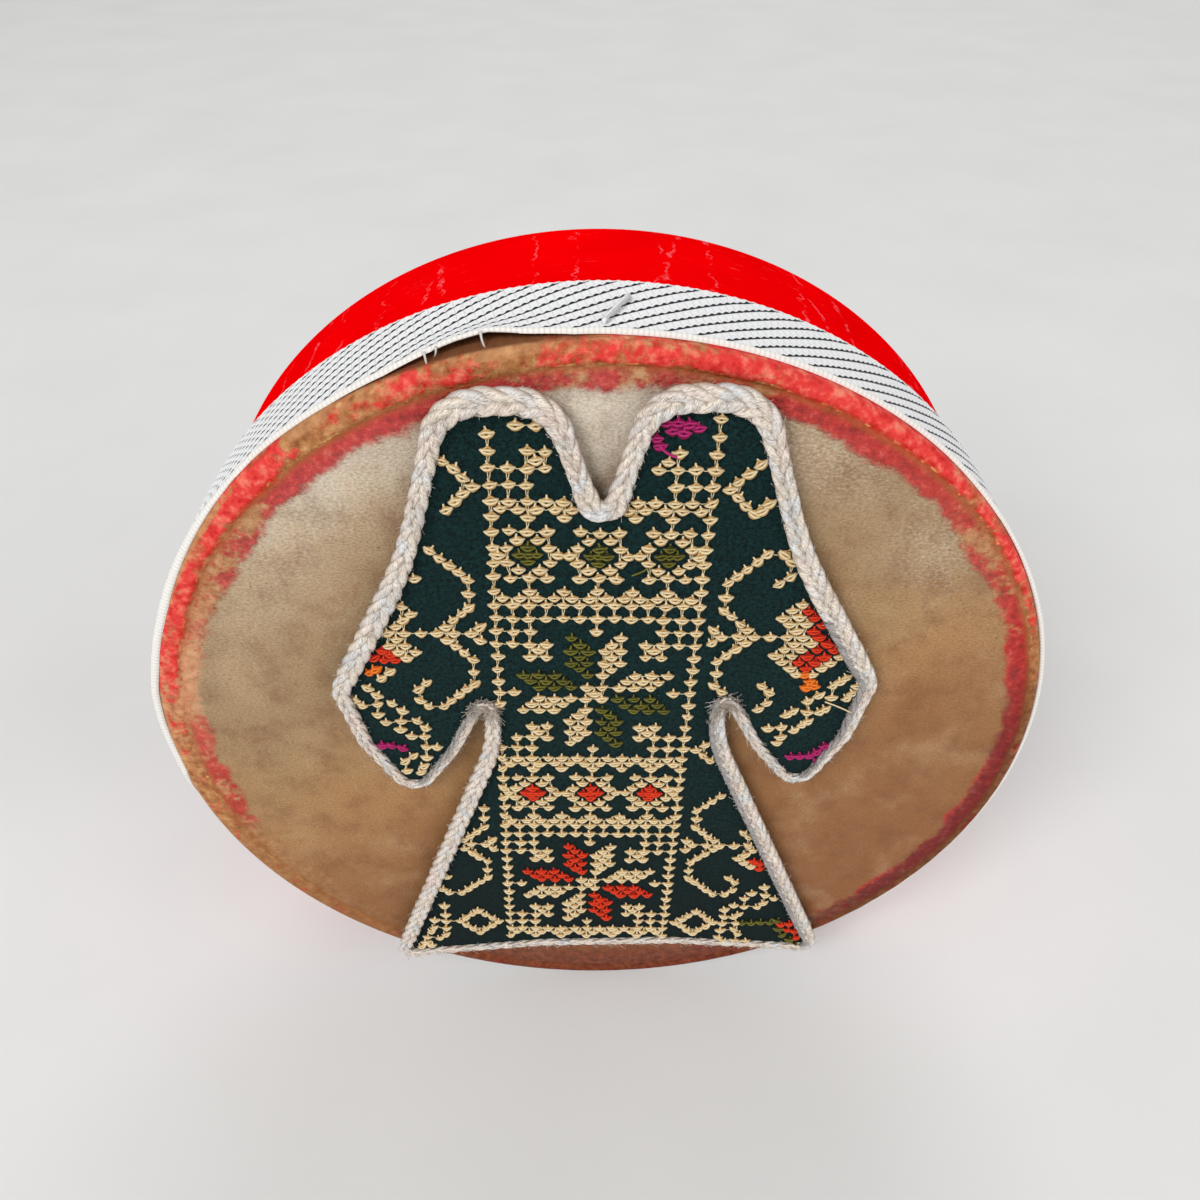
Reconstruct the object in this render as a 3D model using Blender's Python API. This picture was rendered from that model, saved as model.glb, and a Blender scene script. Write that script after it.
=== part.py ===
"""Small daf: a bent wooden hoop with a goatskin head, an edge tape, a sewn-on dress and inner rings.

Metres, +Z up. The drum stands on its rim with the skin facing -Y and its axis along Y.
The origin is under the middle of the drum, on the surface it stands on.
"""
import math

import bmesh
import bpy
from mathutils import Matrix, Vector

# Fit between pieces that touch on the real drum
FIT = 0.0003

# Hoop: a bent strip of wood, its ends closed by a slanted scarf joint
HOOP_DIAMETER = 0.1950
HOOP_WALL = 0.0070
HOOP_DEPTH = 0.0570
EDGE_ROUND = 0.0030
EDGE_CHAMFER = 0.0006
SCARF_LENGTH = 0.0560
SCARF_ANGLE = -42.0

# Skin: stretched over the front edge and turned down over the outside
SKIN_THICKNESS = 0.0008
SKIN_DIP = 0.0006
SKIN_DIP_RUN = 0.0035

# Tape: one turn of webbing over the skin's collar, drawn in to the wood behind it
TAPE_WIDTH = 0.0245
TAPE_THICKNESS = 0.0009
TAPE_SETBACK = 0.0013
TAPE_TAIL = 0.0045
TAPE_DRAW_IN = 0.0020
TAPE_BUTT_ANGLE = -68.0
TAPE_BUTT_GAP = 0.0004

# Wire staples that pin the tape
STAPLE_COUNT = 3
STAPLE_FIRST_ANGLE = 87.6
STAPLE_CROWN = 0.0128
STAPLE_WIRE = 0.0010
STAPLE_SLANT = 66.0
STAPLE_COVER = 0.0025

# Rings and the wire eyes that carry them, inside the hoop
RING_COUNT = 12
RING_FIRST_ANGLE = 15.0
RING_DIAMETER = 0.0200
RING_WIRE = 0.0018
RING_PLAY = 0.0004
EYE_WIRE = 0.0013
EYE_NECK = 0.0012
EYE_INSET = 0.0180
EYE_COVER = 0.0020

# Dress: lining, embroidered cloth and a braided edging cord; heights are from the drum's centre
CORD_DIAMETER = 0.0046
CORD_BEND = 0.0028
LINING_THICKNESS = 0.0010
LINING_INSET = 0.0006
CLOTH_THICKNESS = 0.0008
DRESS_SHIFT = 0.0012
SHOULDER_HEIGHT = 0.0906
SHOULDER_HALF = 0.0282
SHOULDER_ROUND = 0.0050
NECK_HALF = 0.0093
NECK_POINT = 0.0590
SLEEVE_BEND_HALF = 0.0386
SLEEVE_BEND_HEIGHT = 0.0550
ELBOW_HALF = 0.0573
ELBOW_HEIGHT = 0.0200
CUFF_SIDE_HALF = 0.0542
CUFF_SIDE_HEIGHT = 0.0035
CUFF_TIP_HALF = 0.0457
CUFF_TIP_HEIGHT = -0.0125
ARMPIT_HALF = 0.0250
ARMPIT_HEIGHT = 0.0215
WAIST_HALF = 0.0245
WAIST_HEIGHT = -0.0040
HEM_HALF = 0.0565
HEM_CORNER_HEIGHT = -0.0826
HEM_FLAT_HALF = 0.0180
HEM_HEIGHT = -0.0782
GENTLE_BEND = 0.0400
SLEEVE_BEND = 0.0900

# Faceting
SEGMENTS = 72
ROUND_STEPS = 4
WIRE_RESOLUTION = 1
CORD_RESOLUTION = 2
RING_STEPS = 20
RING_SIDES = 6
EYE_STEPS = 12
BEND_STEP = 20.0
CUT_SIDES = 12
OVERCUT = 0.0020

# Radii across the rim, from the wood outwards
HOOP_OUTER = HOOP_DIAMETER / 2
HOOP_INNER = HOOP_OUTER - HOOP_WALL
COLLAR_INNER = HOOP_OUTER + FIT
COLLAR_OUTER = COLLAR_INNER + SKIN_THICKNESS
TAPE_INNER = COLLAR_OUTER + FIT
TAPE_OUTER = TAPE_INNER + TAPE_THICKNESS

# Depths behind the skin's front face, and layers in front of it
HOOP_FRONT = SKIN_THICKNESS + FIT
HOOP_REAR = HOOP_FRONT + HOOP_DEPTH
TAPE_REAR = TAPE_SETBACK + TAPE_WIDTH
COLLAR_REAR = TAPE_REAR - TAPE_TAIL
LINING_BACK = -FIT
LINING_FRONT = LINING_BACK - LINING_THICKNESS
CLOTH_BACK = LINING_FRONT - FIT
CORD_MIDDLE = LINING_FRONT - FIT - CORD_DIAMETER / 2
DRESS_FRONT = CORD_MIDDLE - CORD_DIAMETER / 2

# The drum stands on the flat of a facet, with its depth centred on the origin
FACET = 2 * math.pi / SEGMENTS
CENTRE = Vector((0, -(DRESS_FRONT + HOOP_REAR) / 2, TAPE_OUTER * math.cos(FACET / 2)))

# Ring carrier: the eye's loop is centred on the swing axis of its ring
RING_RADIUS = (RING_DIAMETER - RING_WIRE) / 2
EYE_BORE = RING_WIRE / 2 + RING_PLAY
EYE_RADIUS = EYE_BORE + EYE_WIRE / 2
EYE_STANDOFF = EYE_NECK + EYE_RADIUS + EYE_WIRE / 2
PIVOT_RADIUS = HOOP_INNER * math.cos(FACET / 2) - EYE_STANDOFF
EYE_DEPTH = HOOP_REAR - EYE_INSET
EYE_SHANK = EYE_STANDOFF + HOOP_WALL - EYE_COVER


def material(name, colour, roughness, metallic=0.0):
    mat = bpy.data.materials.new(name)
    mat.use_nodes = True
    shader = mat.node_tree.nodes["Principled BSDF"]
    shader.inputs["Base Color"].default_value = (*colour, 1.0)
    shader.inputs["Roughness"].default_value = roughness
    shader.inputs["Metallic"].default_value = metallic
    return mat


def add_object(name, data, mat, place=None):
    obj = bpy.data.objects.new(name, data)
    bpy.context.collection.objects.link(obj)
    obj.matrix_world = place or Matrix.Translation(CENTRE)
    data.materials.append(mat)
    return obj


def mesh_object(name, bm, mat, place=None, sharp_angle=35.0):
    bmesh.ops.recalc_face_normals(bm, faces=bm.faces[:])
    mesh = bpy.data.meshes.new(name)
    bm.to_mesh(mesh)
    bm.free()
    mesh.shade_smooth()
    mesh.set_sharp_from_angle(angle=math.radians(sharp_angle))
    return add_object(name, mesh, mat, place)


def cutter_object(name, bm):
    obj = mesh_object(name, bm, WOOD)
    obj.hide_render = True
    obj.display_type = "WIRE"
    return obj


def cut(obj, cutter):
    modifier = obj.modifiers.new(cutter.name, "BOOLEAN")
    modifier.operation = "DIFFERENCE"
    modifier.solver = "EXACT"
    modifier.object = cutter


def lathe(profile):
    """Turn (radius, depth) points about the drum's axis; points at radius 0 close the ends."""
    bm = bmesh.new()
    rings = []
    for radius, depth in profile:
        if radius == 0:
            rings.append([bm.verts.new((0, depth, 0))] * SEGMENTS)
            continue
        ring = []
        for i in range(SEGMENTS):
            angle = -math.pi / 2 + (i + 0.5) * FACET
            ring.append(bm.verts.new((radius * math.cos(angle), depth, radius * math.sin(angle))))
        rings.append(ring)
    pairs = list(zip(rings, rings[1:]))
    if profile[0][0] > 0:
        pairs.append((rings[-1], rings[0]))
    for ring, following in pairs:
        for i in range(SEGMENTS):
            j = (i + 1) % SEGMENTS
            corners = [ring[i], ring[j], following[j], following[i]]
            bm.faces.new(list(dict.fromkeys(corners)))
    return bm


def quarter(radius, centre_radius, centre_depth):
    """Front outer quarter round of a turned profile, from its front to its outer side."""
    points = []
    for i in range(ROUND_STEPS + 1):
        angle = math.pi / 2 * i / ROUND_STEPS
        points.append((centre_radius + radius * math.sin(angle), centre_depth - radius * math.cos(angle)))
    return points


def radial_frame(angle):
    """Outward and tangential directions at an angle round the drum, seen from the front."""
    outward = Vector((math.cos(angle), 0, math.sin(angle)))
    along = Vector((-math.sin(angle), 0, math.cos(angle)))
    return outward, along


def frame_matrix(x_axis, y_axis, z_axis, place):
    turn = Matrix((x_axis, y_axis, z_axis)).transposed().to_4x4()
    return Matrix.Translation(CENTRE + place) @ turn


def wire_object(name, points, diameter, mat, place, resolution=WIRE_RESOLUTION, cyclic=False):
    curve = bpy.data.curves.new(name, "CURVE")
    curve.dimensions = "3D"
    curve.bevel_depth = diameter / 2
    curve.bevel_resolution = resolution
    curve.use_fill_caps = True
    spline = curve.splines.new("POLY")
    spline.points.add(len(points) - 1)
    for point, place_at in zip(spline.points, points):
        point.co = (*place_at, 1)
    spline.use_cyclic_u = cyclic
    spline.use_smooth = True
    return add_object(name, curve, mat, place)


def add_pin(bm, start, end, radius):
    """Add a straight round bar between two points of the drum."""
    middle = (start + end) / 2
    turn = Vector((0, 0, 1)).rotation_difference(end - start).to_matrix().to_4x4()
    bmesh.ops.create_cone(
        bm,
        cap_ends=True,
        segments=CUT_SIDES,
        radius1=radius,
        radius2=radius,
        depth=(end - start).length,
        matrix=Matrix.Translation(middle) @ turn,
    )


def fillet(points):
    """Round the corners of a closed outline of (x, z, radius) points with short straight steps."""
    outline = []
    for i, (x, z, radius) in enumerate(points):
        corner = Vector((x, z))
        before = Vector(points[i - 1][:2]) - corner
        after = Vector(points[(i + 1) % len(points)][:2]) - corner
        opening = before.angle(after)
        reach = min(radius / math.tan(opening / 2), before.length / 2, after.length / 2)
        radius = reach * math.tan(opening / 2)
        bisector = (before.normalized() + after.normalized()).normalized()
        centre = corner + bisector * (radius / math.sin(opening / 2))
        start = corner + before.normalized() * reach - centre
        sweep = start.angle_signed(corner + after.normalized() * reach - centre)
        steps = max(1, math.ceil(abs(math.degrees(sweep)) / BEND_STEP))
        for k in range(steps + 1):
            turned = Matrix.Rotation(-sweep * k / steps, 2) @ start
            outline.append(centre + turned)
    return outline


def inset(points, distance):
    """Move the sides of a clockwise outline inwards, and fit each corner's round to its new place."""
    moved = []
    for i, (x, z, radius) in enumerate(points):
        corner = Vector((x, z))
        before = (corner - Vector(points[i - 1][:2])).normalized()
        after = (Vector(points[(i + 1) % len(points)][:2]) - corner).normalized()
        side = Vector((before.y, -before.x))
        next_side = Vector((after.y, -after.x))
        mitre = (side + next_side).normalized()
        corner = corner + mitre * (distance / mitre.dot(side))
        turns_right = before.x * after.y - before.y * after.x < 0
        radius = max(radius - distance, FIT) if turns_right else radius + distance
        moved.append((corner.x, corner.y, radius))
    return moved


def dress_outline():
    """Middle line of the edging cord, clockwise from the neck point."""
    half = [
        (NECK_HALF, SHOULDER_HEIGHT, SHOULDER_ROUND),
        (SHOULDER_HALF, SHOULDER_HEIGHT, SHOULDER_ROUND),
        (SLEEVE_BEND_HALF, SLEEVE_BEND_HEIGHT, SLEEVE_BEND),
        (ELBOW_HALF, ELBOW_HEIGHT, SHOULDER_ROUND),
        (CUFF_SIDE_HALF, CUFF_SIDE_HEIGHT, SHOULDER_ROUND),
        (CUFF_TIP_HALF, CUFF_TIP_HEIGHT, CORD_BEND),
        (ARMPIT_HALF, ARMPIT_HEIGHT, CORD_BEND),
        (WAIST_HALF, WAIST_HEIGHT, GENTLE_BEND),
        (HEM_HALF, HEM_CORNER_HEIGHT, CORD_BEND),
        (HEM_FLAT_HALF, HEM_HEIGHT, GENTLE_BEND),
    ]
    mirrored = [(-x, z, radius) for x, z, radius in reversed(half)]
    return [(0, NECK_POINT, CORD_BEND)] + half + mirrored


def flat_piece(name, outline, back, front, mat):
    bm = bmesh.new()
    loop = [bm.verts.new((point.x, back, point.y)) for point in outline]
    face = bm.faces.new(loop)
    extruded = bmesh.ops.extrude_face_region(bm, geom=[face])
    lifted = [item for item in extruded["geom"] if isinstance(item, bmesh.types.BMVert)]
    bmesh.ops.translate(bm, verts=lifted, vec=(0, front - back, 0))
    return mesh_object(name, bm, mat, Matrix.Translation(CENTRE + Vector((DRESS_SHIFT, 0, 0))))


for leftover in list(bpy.data.objects):
    bpy.data.objects.remove(leftover, do_unlink=True)

WOOD = material("red_lacquered_wood", (0.78, 0.01, 0.01), 0.30)
SKIN = material("goatskin", (0.42, 0.24, 0.11), 0.50)
WEBBING = material("white_webbing", (0.75, 0.74, 0.72), 0.85)
STEEL = material("steel_wire", (0.55, 0.55, 0.56), 0.35, 1.0)
LINING = material("dress_lining", (0.06, 0.08, 0.08), 0.95)
CLOTH = material("embroidered_cloth", (0.02, 0.06, 0.07), 0.90)
CORD = material("braided_cord", (0.66, 0.60, 0.56), 0.90)

# Hoop section: round front outer edge, small chamfers on the other corners
edge_round = min(EDGE_ROUND, HOOP_WALL - 2 * EDGE_CHAMFER)
hoop_profile = [(HOOP_INNER, HOOP_FRONT + EDGE_CHAMFER), (HOOP_INNER + EDGE_CHAMFER, HOOP_FRONT)]
hoop_profile += quarter(edge_round, HOOP_OUTER - edge_round, HOOP_FRONT + edge_round)
hoop_profile += [
    (HOOP_OUTER, HOOP_REAR - EDGE_CHAMFER),
    (HOOP_OUTER - EDGE_CHAMFER, HOOP_REAR),
    (HOOP_INNER + EDGE_CHAMFER, HOOP_REAR),
    (HOOP_INNER, HOOP_REAR - EDGE_CHAMFER),
]
hoop = mesh_object("hoop", lathe(hoop_profile), WOOD)

# Skin: flat over the wood, a shallow dip inside it, and a collar down the outside
inner_round = edge_round + FIT
outer_round = inner_round + SKIN_THICKNESS
dip_edge = HOOP_INNER - SKIN_DIP_RUN
skin_profile = [(0, SKIN_DIP), (dip_edge, SKIN_DIP), (HOOP_INNER, 0)]
skin_profile += quarter(outer_round, COLLAR_OUTER - outer_round, outer_round)
skin_profile += [(COLLAR_OUTER, COLLAR_REAR), (COLLAR_INNER, COLLAR_REAR)]
skin_profile += reversed(quarter(inner_round, COLLAR_INNER - inner_round, SKIN_THICKNESS + inner_round))
skin_profile += [(HOOP_INNER, SKIN_THICKNESS), (dip_edge, SKIN_DIP + SKIN_THICKNESS)]
skin_profile += [(0, SKIN_DIP + SKIN_THICKNESS)]
skin = mesh_object("skin_head", lathe(skin_profile), SKIN)

# Tape: level over the collar, then drawn in to the wood at its rear edge
draw_start = COLLAR_REAR + FIT
draw_end = draw_start + TAPE_DRAW_IN
tape_profile = [
    (TAPE_INNER, TAPE_SETBACK),
    (TAPE_OUTER, TAPE_SETBACK),
    (TAPE_OUTER, draw_start),
    (COLLAR_INNER + TAPE_THICKNESS, draw_end),
    (COLLAR_INNER + TAPE_THICKNESS, TAPE_REAR),
    (COLLAR_INNER, TAPE_REAR),
    (COLLAR_INNER, draw_end),
    (TAPE_INNER, draw_start),
]
tape = mesh_object("edge_tape", lathe(tape_profile), WEBBING)

# Scarf joint: a thin slanted slit that runs from the inside of the hoop to its outside
scarf = bmesh.new()
scarf_half = SCARF_LENGTH / HOOP_OUTER / 2
scarf_steps = 8
scarf_sections = []
for step in range(-1, scarf_steps + 2):
    share = step / scarf_steps
    angle = math.radians(SCARF_ANGLE) + scarf_half * (2 * share - 1)
    outward, along = radial_frame(angle)
    radius = HOOP_INNER + HOOP_WALL * share
    section = []
    for offset, depth in (
        (-FIT / 2, HOOP_FRONT - OVERCUT),
        (FIT / 2, HOOP_FRONT - OVERCUT),
        (FIT / 2, HOOP_REAR + OVERCUT),
        (-FIT / 2, HOOP_REAR + OVERCUT),
    ):
        section.append(scarf.verts.new(outward * (radius + offset) + Vector((0, depth, 0))))
    scarf_sections.append(section)
for section, following in zip(scarf_sections, scarf_sections[1:]):
    for i in range(4):
        j = (i + 1) % 4
        scarf.faces.new((section[i], section[j], following[j], following[i]))
scarf.faces.new(scarf_sections[0])
scarf.faces.new(scarf_sections[-1])
cut(hoop, cutter_object("scarf_slit", scarf))

# Butt joint where the two ends of the tape meet
butt = bmesh.new()
outward, along = radial_frame(math.radians(TAPE_BUTT_ANGLE))
butt_middle = outward * (TAPE_OUTER + COLLAR_INNER) / 2 + Vector((0, (TAPE_SETBACK + TAPE_REAR) / 2, 0))
butt_reach = TAPE_OUTER - COLLAR_INNER + 2 * OVERCUT
bmesh.ops.create_cube(
    butt,
    size=1.0,
    matrix=Matrix.Translation(butt_middle)
    @ Matrix((along, Vector((0, 1, 0)), outward)).transposed().to_4x4()
    @ Matrix.Diagonal((TAPE_BUTT_GAP, TAPE_WIDTH + 2 * OVERCUT, butt_reach, 1)),
)
cut(tape, cutter_object("tape_butt", butt))

# Staples: straight crowns on the tape, legs through tape and collar into the wood
staple_radius = TAPE_OUTER + FIT + STAPLE_WIRE / 2
staple_leg = staple_radius - HOOP_INNER - STAPLE_COVER
staple_depth = TAPE_SETBACK + (COLLAR_REAR - TAPE_SETBACK) / 2
staple_span = STAPLE_CROWN - STAPLE_WIRE
staple_points = [
    (-staple_span / 2, 0, -staple_leg),
    (-staple_span / 2, 0, 0),
    (staple_span / 2, 0, 0),
    (staple_span / 2, 0, -staple_leg),
]
staple_bores = bmesh.new()
slant = math.radians(STAPLE_SLANT)
for number in range(STAPLE_COUNT):
    angle = math.radians(STAPLE_FIRST_ANGLE + 360 * number / STAPLE_COUNT)
    outward, along = radial_frame(angle)
    crown = Vector((0, math.sin(slant), 0)) - along * math.cos(slant)
    seat = outward * staple_radius + Vector((0, staple_depth, 0))
    place = frame_matrix(crown, outward.cross(crown), outward, seat)
    wire_object(f"tape_staple_{number + 1:02d}", staple_points, STAPLE_WIRE, STEEL, place)
    for end in (-staple_span / 2, staple_span / 2):
        foot = seat + crown * end
        tip = foot - outward * (staple_leg + FIT)
        add_pin(staple_bores, tip, foot + outward * OVERCUT, STAPLE_WIRE / 2 + FIT)
staple_cutter = cutter_object("staple_bores", staple_bores)
for layer in (hoop, skin, tape):
    cut(layer, staple_cutter)

# Swing of a ring to each side of the inward direction, until its far side meets the wall
ring_reach = 2 * RING_RADIUS
wall_limit = HOOP_INNER * math.cos(FACET / 2) - RING_WIRE / 2 - FIT
swing_cosine = (PIVOT_RADIUS**2 + ring_reach**2 - wall_limit**2) / (2 * PIVOT_RADIUS * ring_reach)
swing_limit = math.degrees(math.acos(swing_cosine))

# Eyes: one bent wire each, its shank in the wall and its loop round the ring
loop_gap = EYE_WIRE + FIT
loop_end = math.acos((EYE_RADIUS - loop_gap) / EYE_RADIUS) - 2 * math.pi
eye_points = [(EYE_RADIUS, 0, EYE_SHANK), (EYE_RADIUS, 0, EYE_STANDOFF), (EYE_RADIUS, 0, 0)]
for step in range(1, EYE_STEPS + 1):
    turn = loop_end * step / EYE_STEPS
    eye_points.append((EYE_RADIUS * math.cos(turn), 0, EYE_RADIUS * math.sin(turn)))
eye_bores = bmesh.new()
for number in range(RING_COUNT):
    heading = RING_FIRST_ANGLE + 360 * number / RING_COUNT
    outward, along = radial_frame(math.radians(heading))
    pivot = outward * PIVOT_RADIUS + Vector((0, EYE_DEPTH, 0))
    place = frame_matrix(along, outward.cross(along), outward, pivot)
    wire_object(f"ring_eye_{number + 1:02d}", eye_points, EYE_WIRE, STEEL, place)
    foot = pivot + along * EYE_RADIUS
    shank_end = foot + outward * (EYE_SHANK + FIT)
    add_pin(eye_bores, foot + outward * EYE_WIRE, shank_end, EYE_WIRE / 2 + FIT)

    # The ring hangs straight down, or leans on the wall where that is in the way
    hang = (90 - heading + 180) % 360 - 180
    lean = max(-swing_limit, min(swing_limit, hang))
    toward = math.radians(heading + 180 + lean)
    down = Vector((math.cos(toward), 0, math.sin(toward)))
    ring = bmesh.new()
    circles = []
    for i in range(RING_STEPS):
        around = 2 * math.pi * i / RING_STEPS
        centre = Vector((0, RING_RADIUS * math.sin(around), RING_RADIUS * (math.cos(around) - 1)))
        spoke = Vector((0, math.sin(around), math.cos(around)))
        circle = []
        for k in range(RING_SIDES):
            tilt = 2 * math.pi * (k + 0.5) / RING_SIDES
            across = Vector((math.sin(tilt), 0, 0)) + spoke * math.cos(tilt)
            circle.append(ring.verts.new(centre + across * RING_WIRE / 2))
        circles.append(circle)
    for i in range(RING_STEPS):
        circle = circles[i]
        following = circles[(i + 1) % RING_STEPS]
        for k in range(RING_SIDES):
            n = (k + 1) % RING_SIDES
            ring.faces.new((circle[k], circle[n], following[n], following[k]))
    place = frame_matrix(Vector((0, 1, 0)).cross(-down), Vector((0, 1, 0)), -down, pivot)
    mesh_object(f"jingle_ring_{number + 1:02d}", ring, STEEL, place, 60.0)
cut(hoop, cutter_object("eye_bores", eye_bores))

# Dress: lining under all of it, cloth inside the cord, cord round the edge
edge_line = dress_outline()
flat_piece("dress_lining", fillet(inset(edge_line, LINING_INSET)), LINING_BACK, LINING_FRONT, LINING)
cloth_line = inset(edge_line, CORD_DIAMETER / 2 + FIT)
flat_piece("dress_cloth", fillet(cloth_line), CLOTH_BACK, CLOTH_BACK - CLOTH_THICKNESS, CLOTH)
cord_points = [(point.x, 0, point.y) for point in fillet(edge_line)]
cord_place = Matrix.Translation(CENTRE + Vector((DRESS_SHIFT, CORD_MIDDLE, 0)))
wire_object("dress_edging", cord_points, CORD_DIAMETER, CORD, cord_place, CORD_RESOLUTION, True)
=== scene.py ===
"""Looks of a small daf: lacquered hoop, goatskin head, webbing tape, embroidered dress and inner rings.

Shapes are worked out in millimetres from the drum's centre at the skin's front face:
x to the right, s to the rear and z up. Angles round the drum are seen from the front.
"""
import math
import random

import bmesh
import bpy
import numpy as np
from mathutils import Matrix, Vector
from mathutils.geometry import delaunay_2d_cdt


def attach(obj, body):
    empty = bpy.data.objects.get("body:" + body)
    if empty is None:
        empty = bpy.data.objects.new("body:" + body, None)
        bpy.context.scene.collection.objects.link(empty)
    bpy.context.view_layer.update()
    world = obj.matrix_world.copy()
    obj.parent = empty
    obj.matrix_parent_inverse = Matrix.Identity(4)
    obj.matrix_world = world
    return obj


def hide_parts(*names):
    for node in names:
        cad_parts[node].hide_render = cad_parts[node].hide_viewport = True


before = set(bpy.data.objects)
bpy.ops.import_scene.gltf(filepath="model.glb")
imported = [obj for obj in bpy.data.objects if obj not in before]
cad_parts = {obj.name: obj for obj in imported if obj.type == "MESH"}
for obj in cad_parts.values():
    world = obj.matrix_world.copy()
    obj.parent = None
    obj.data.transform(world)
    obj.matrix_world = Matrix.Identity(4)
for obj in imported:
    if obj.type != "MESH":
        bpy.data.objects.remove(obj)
bpy.context.view_layer.update()
random.seed(7)

MM = 0.001
CENTRE = np.array((0.0, -25.95, 99.705))

# Hoop
HOOP_OUTER = 97.5
HOOP_INNER = 90.5
HOOP_FRONT = 1.1
HOOP_REAR = 58.1
EDGE_ROUND = 3.0
REAR_ROUND = 0.8
SCARF_ANGLE = -42.0
SCARF_SPREAD = 16.5
HOOP_CHAMFER = 0.6
SEAM_STATIONS = (-0.25, -0.1, 0.0, 0.1, 0.25)
SEAM_HALF = 0.12
SEAM_CUT = 0.35

# Skin and tape
COLLAR = 98.7
COLLAR_REAR = 25.0
SKIN_THICKNESS = 0.8
HIDE_SHIFT = (1.5, -0.5)
CREASE = 94.7
LIGHT_POOL = (0.0, 0.0, 78.0)
TAPE_FRONT = 2.2
TAPE_REAR = 25.8
TAPE_RADIUS = 99.35
TAPE_TAIL_RADIUS = 99.2
TAPE_THICKNESS = 0.7
TAPE_ABOVE_BASE = 0.15
TAPE_BUTT_ANGLE = -68.0
LIFT_BACK = 2.2
LIFT_OUT = 1.9
LIFT_FADES = (0.45, 0.5)
# How far the tape's front edge is drawn over the skin's corner, stands off it, stands back (in millimetres)
# and has come away (as a share), each by the angle in degrees
DRAWN_OVER = (
    (0, 1.9), (10, 2.1), (20, 2.1), (30, 1.7), (40, 0.9), (48, 0), (130, 0), (135, 1.8), (140, 2.5),
    (145, 3.0), (150, 3.35), (155, 3.65), (160, 3.5), (165, 3.7), (170, 3.4), (180, 3.3), (185, 3.3),
    (190, 1.2), (196, 0), (290, 0), (305, 1.0), (320, 1.6), (330, 1.3), (340, 1.3), (350, 1.7),
    (360, 1.9),
)
STANDS_OFF = (
    (0, 0), (8, 0.15), (20, 0.3), (30, 0.2), (42, 0), (158, 0), (165, 0.5), (170, 0.9), (175, 0.7),
    (182, 0),
)
SET_BACK = ((20, 0), (50, 1.1), (88, 1.1), (96, 0))
LIFTED = ((87, 0), (92, 0.14), (97, 0.55), (100.5, 1), (104, 0.86), (108, 0.52), (112, 0.18), (119, 0))
CORNER_RUN = (0, 1.0, 1.62, 2.2, 2.87, 3.57, 4.2)
CORNER_RISE = (0, 1.0, 1.6, 2.05, 2.32, 2.45, 2.5)
CORNER_INWARD = (0, 0, 0.12, 0.5, 1.1, 1.8, 2.4)
CORNER_TURN = (0, 0.1, 0.45, 0.9, 1.2, 1.35, 1.4)
TAPE_STEPS = 1640
TAPE_ROWS = 50
TAPE_INNER_ROWS = 7
TWILL_PERIOD = 5.35
TWILL_LEAN = 1.35
KNOT_ALONG = 1.7
KNOT_SHIFT = 0.215
RIB_PITCH = 0.95
SCALLOP_PITCH = 1.9
SCALLOP_HEIGHT = 0.22

# Staples
STAPLE_ANGLES = (87.6, 207.6, 327.6)
STAPLE_RADIUS = 100.4
STAPLE_DEPTH = 11.3
STAPLE_SPAN = 11.8
STAPLE_WIRE = 1.0
STAPLE_LEG = 7.4
STAPLE_SLANT = 66.0
STAPLE_CORNER = 0.7

# Rings and eyes
RING_COUNT = 12
RING_FIRST_ANGLE = 15.0
RING_RADIUS = 9.1
RING_WIRE = 1.8
PIVOT_RADIUS = 86.614
PIVOT_DEPTH = 40.1
LEAN_ANGLE = 92.29
EYE_WIRE = 1.3
EYE_RADIUS = 1.95
EYE_STANDOFF = 3.8
EYE_SHANK = 8.8
EYE_GAP = 0.3
EYE_STEPS = 28

# Dress
DRESS_SHIFT = 1.2
LINING_BACK = -0.3
LINING_FRONT = -1.3
CLOTH_BACK = -1.6
CLOTH_FRONT = -2.3
BRAID_BACK = -1.7
BRAID_HALF = 2.35
BRAID_FACING = (-1.0, -0.5, -0.2, 0.3, 0.5, 1.0)
BRAID_BREADTH = (0.45, 0.55, 0.74, 0.86, 1.08, 1.2)
STRAND_COUNT = 5
PLAIT_PERIOD = 19.0
PLAIT_SWAY = 1.45
PLAIT_RISE = 0.6
STRAND_HALF = (0.95, 0.75)
STRAND_PLIES = (2, 0.12, 0.35)
STRAND_SIDES = 14
SOIL_AND_SHADE_FROM = 0.8
SOIL_AND_SHADE_BELOW = 40.0
SOIL_AND_SHADE_FACING = -0.25
FIBRE_HALF = 0.06
ALL_SMOOTH = 180.0
REARWARD = np.array((0.0, 1.0, 0.0))


def srgb(red, green, blue):
    """Linear colour of an 8-bit display colour."""
    shares = [level / 255 for level in (red, green, blue)]
    return tuple(((c + 0.055) / 1.055) ** 2.4 if c > 0.04045 else c / 12.92 for c in shares) + (1.0,)


def in_scene(name, data):
    """A new object of the scene that shows the data."""
    item = bpy.data.objects.new(name, data)
    bpy.context.scene.collection.objects.link(item)
    return item


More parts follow.
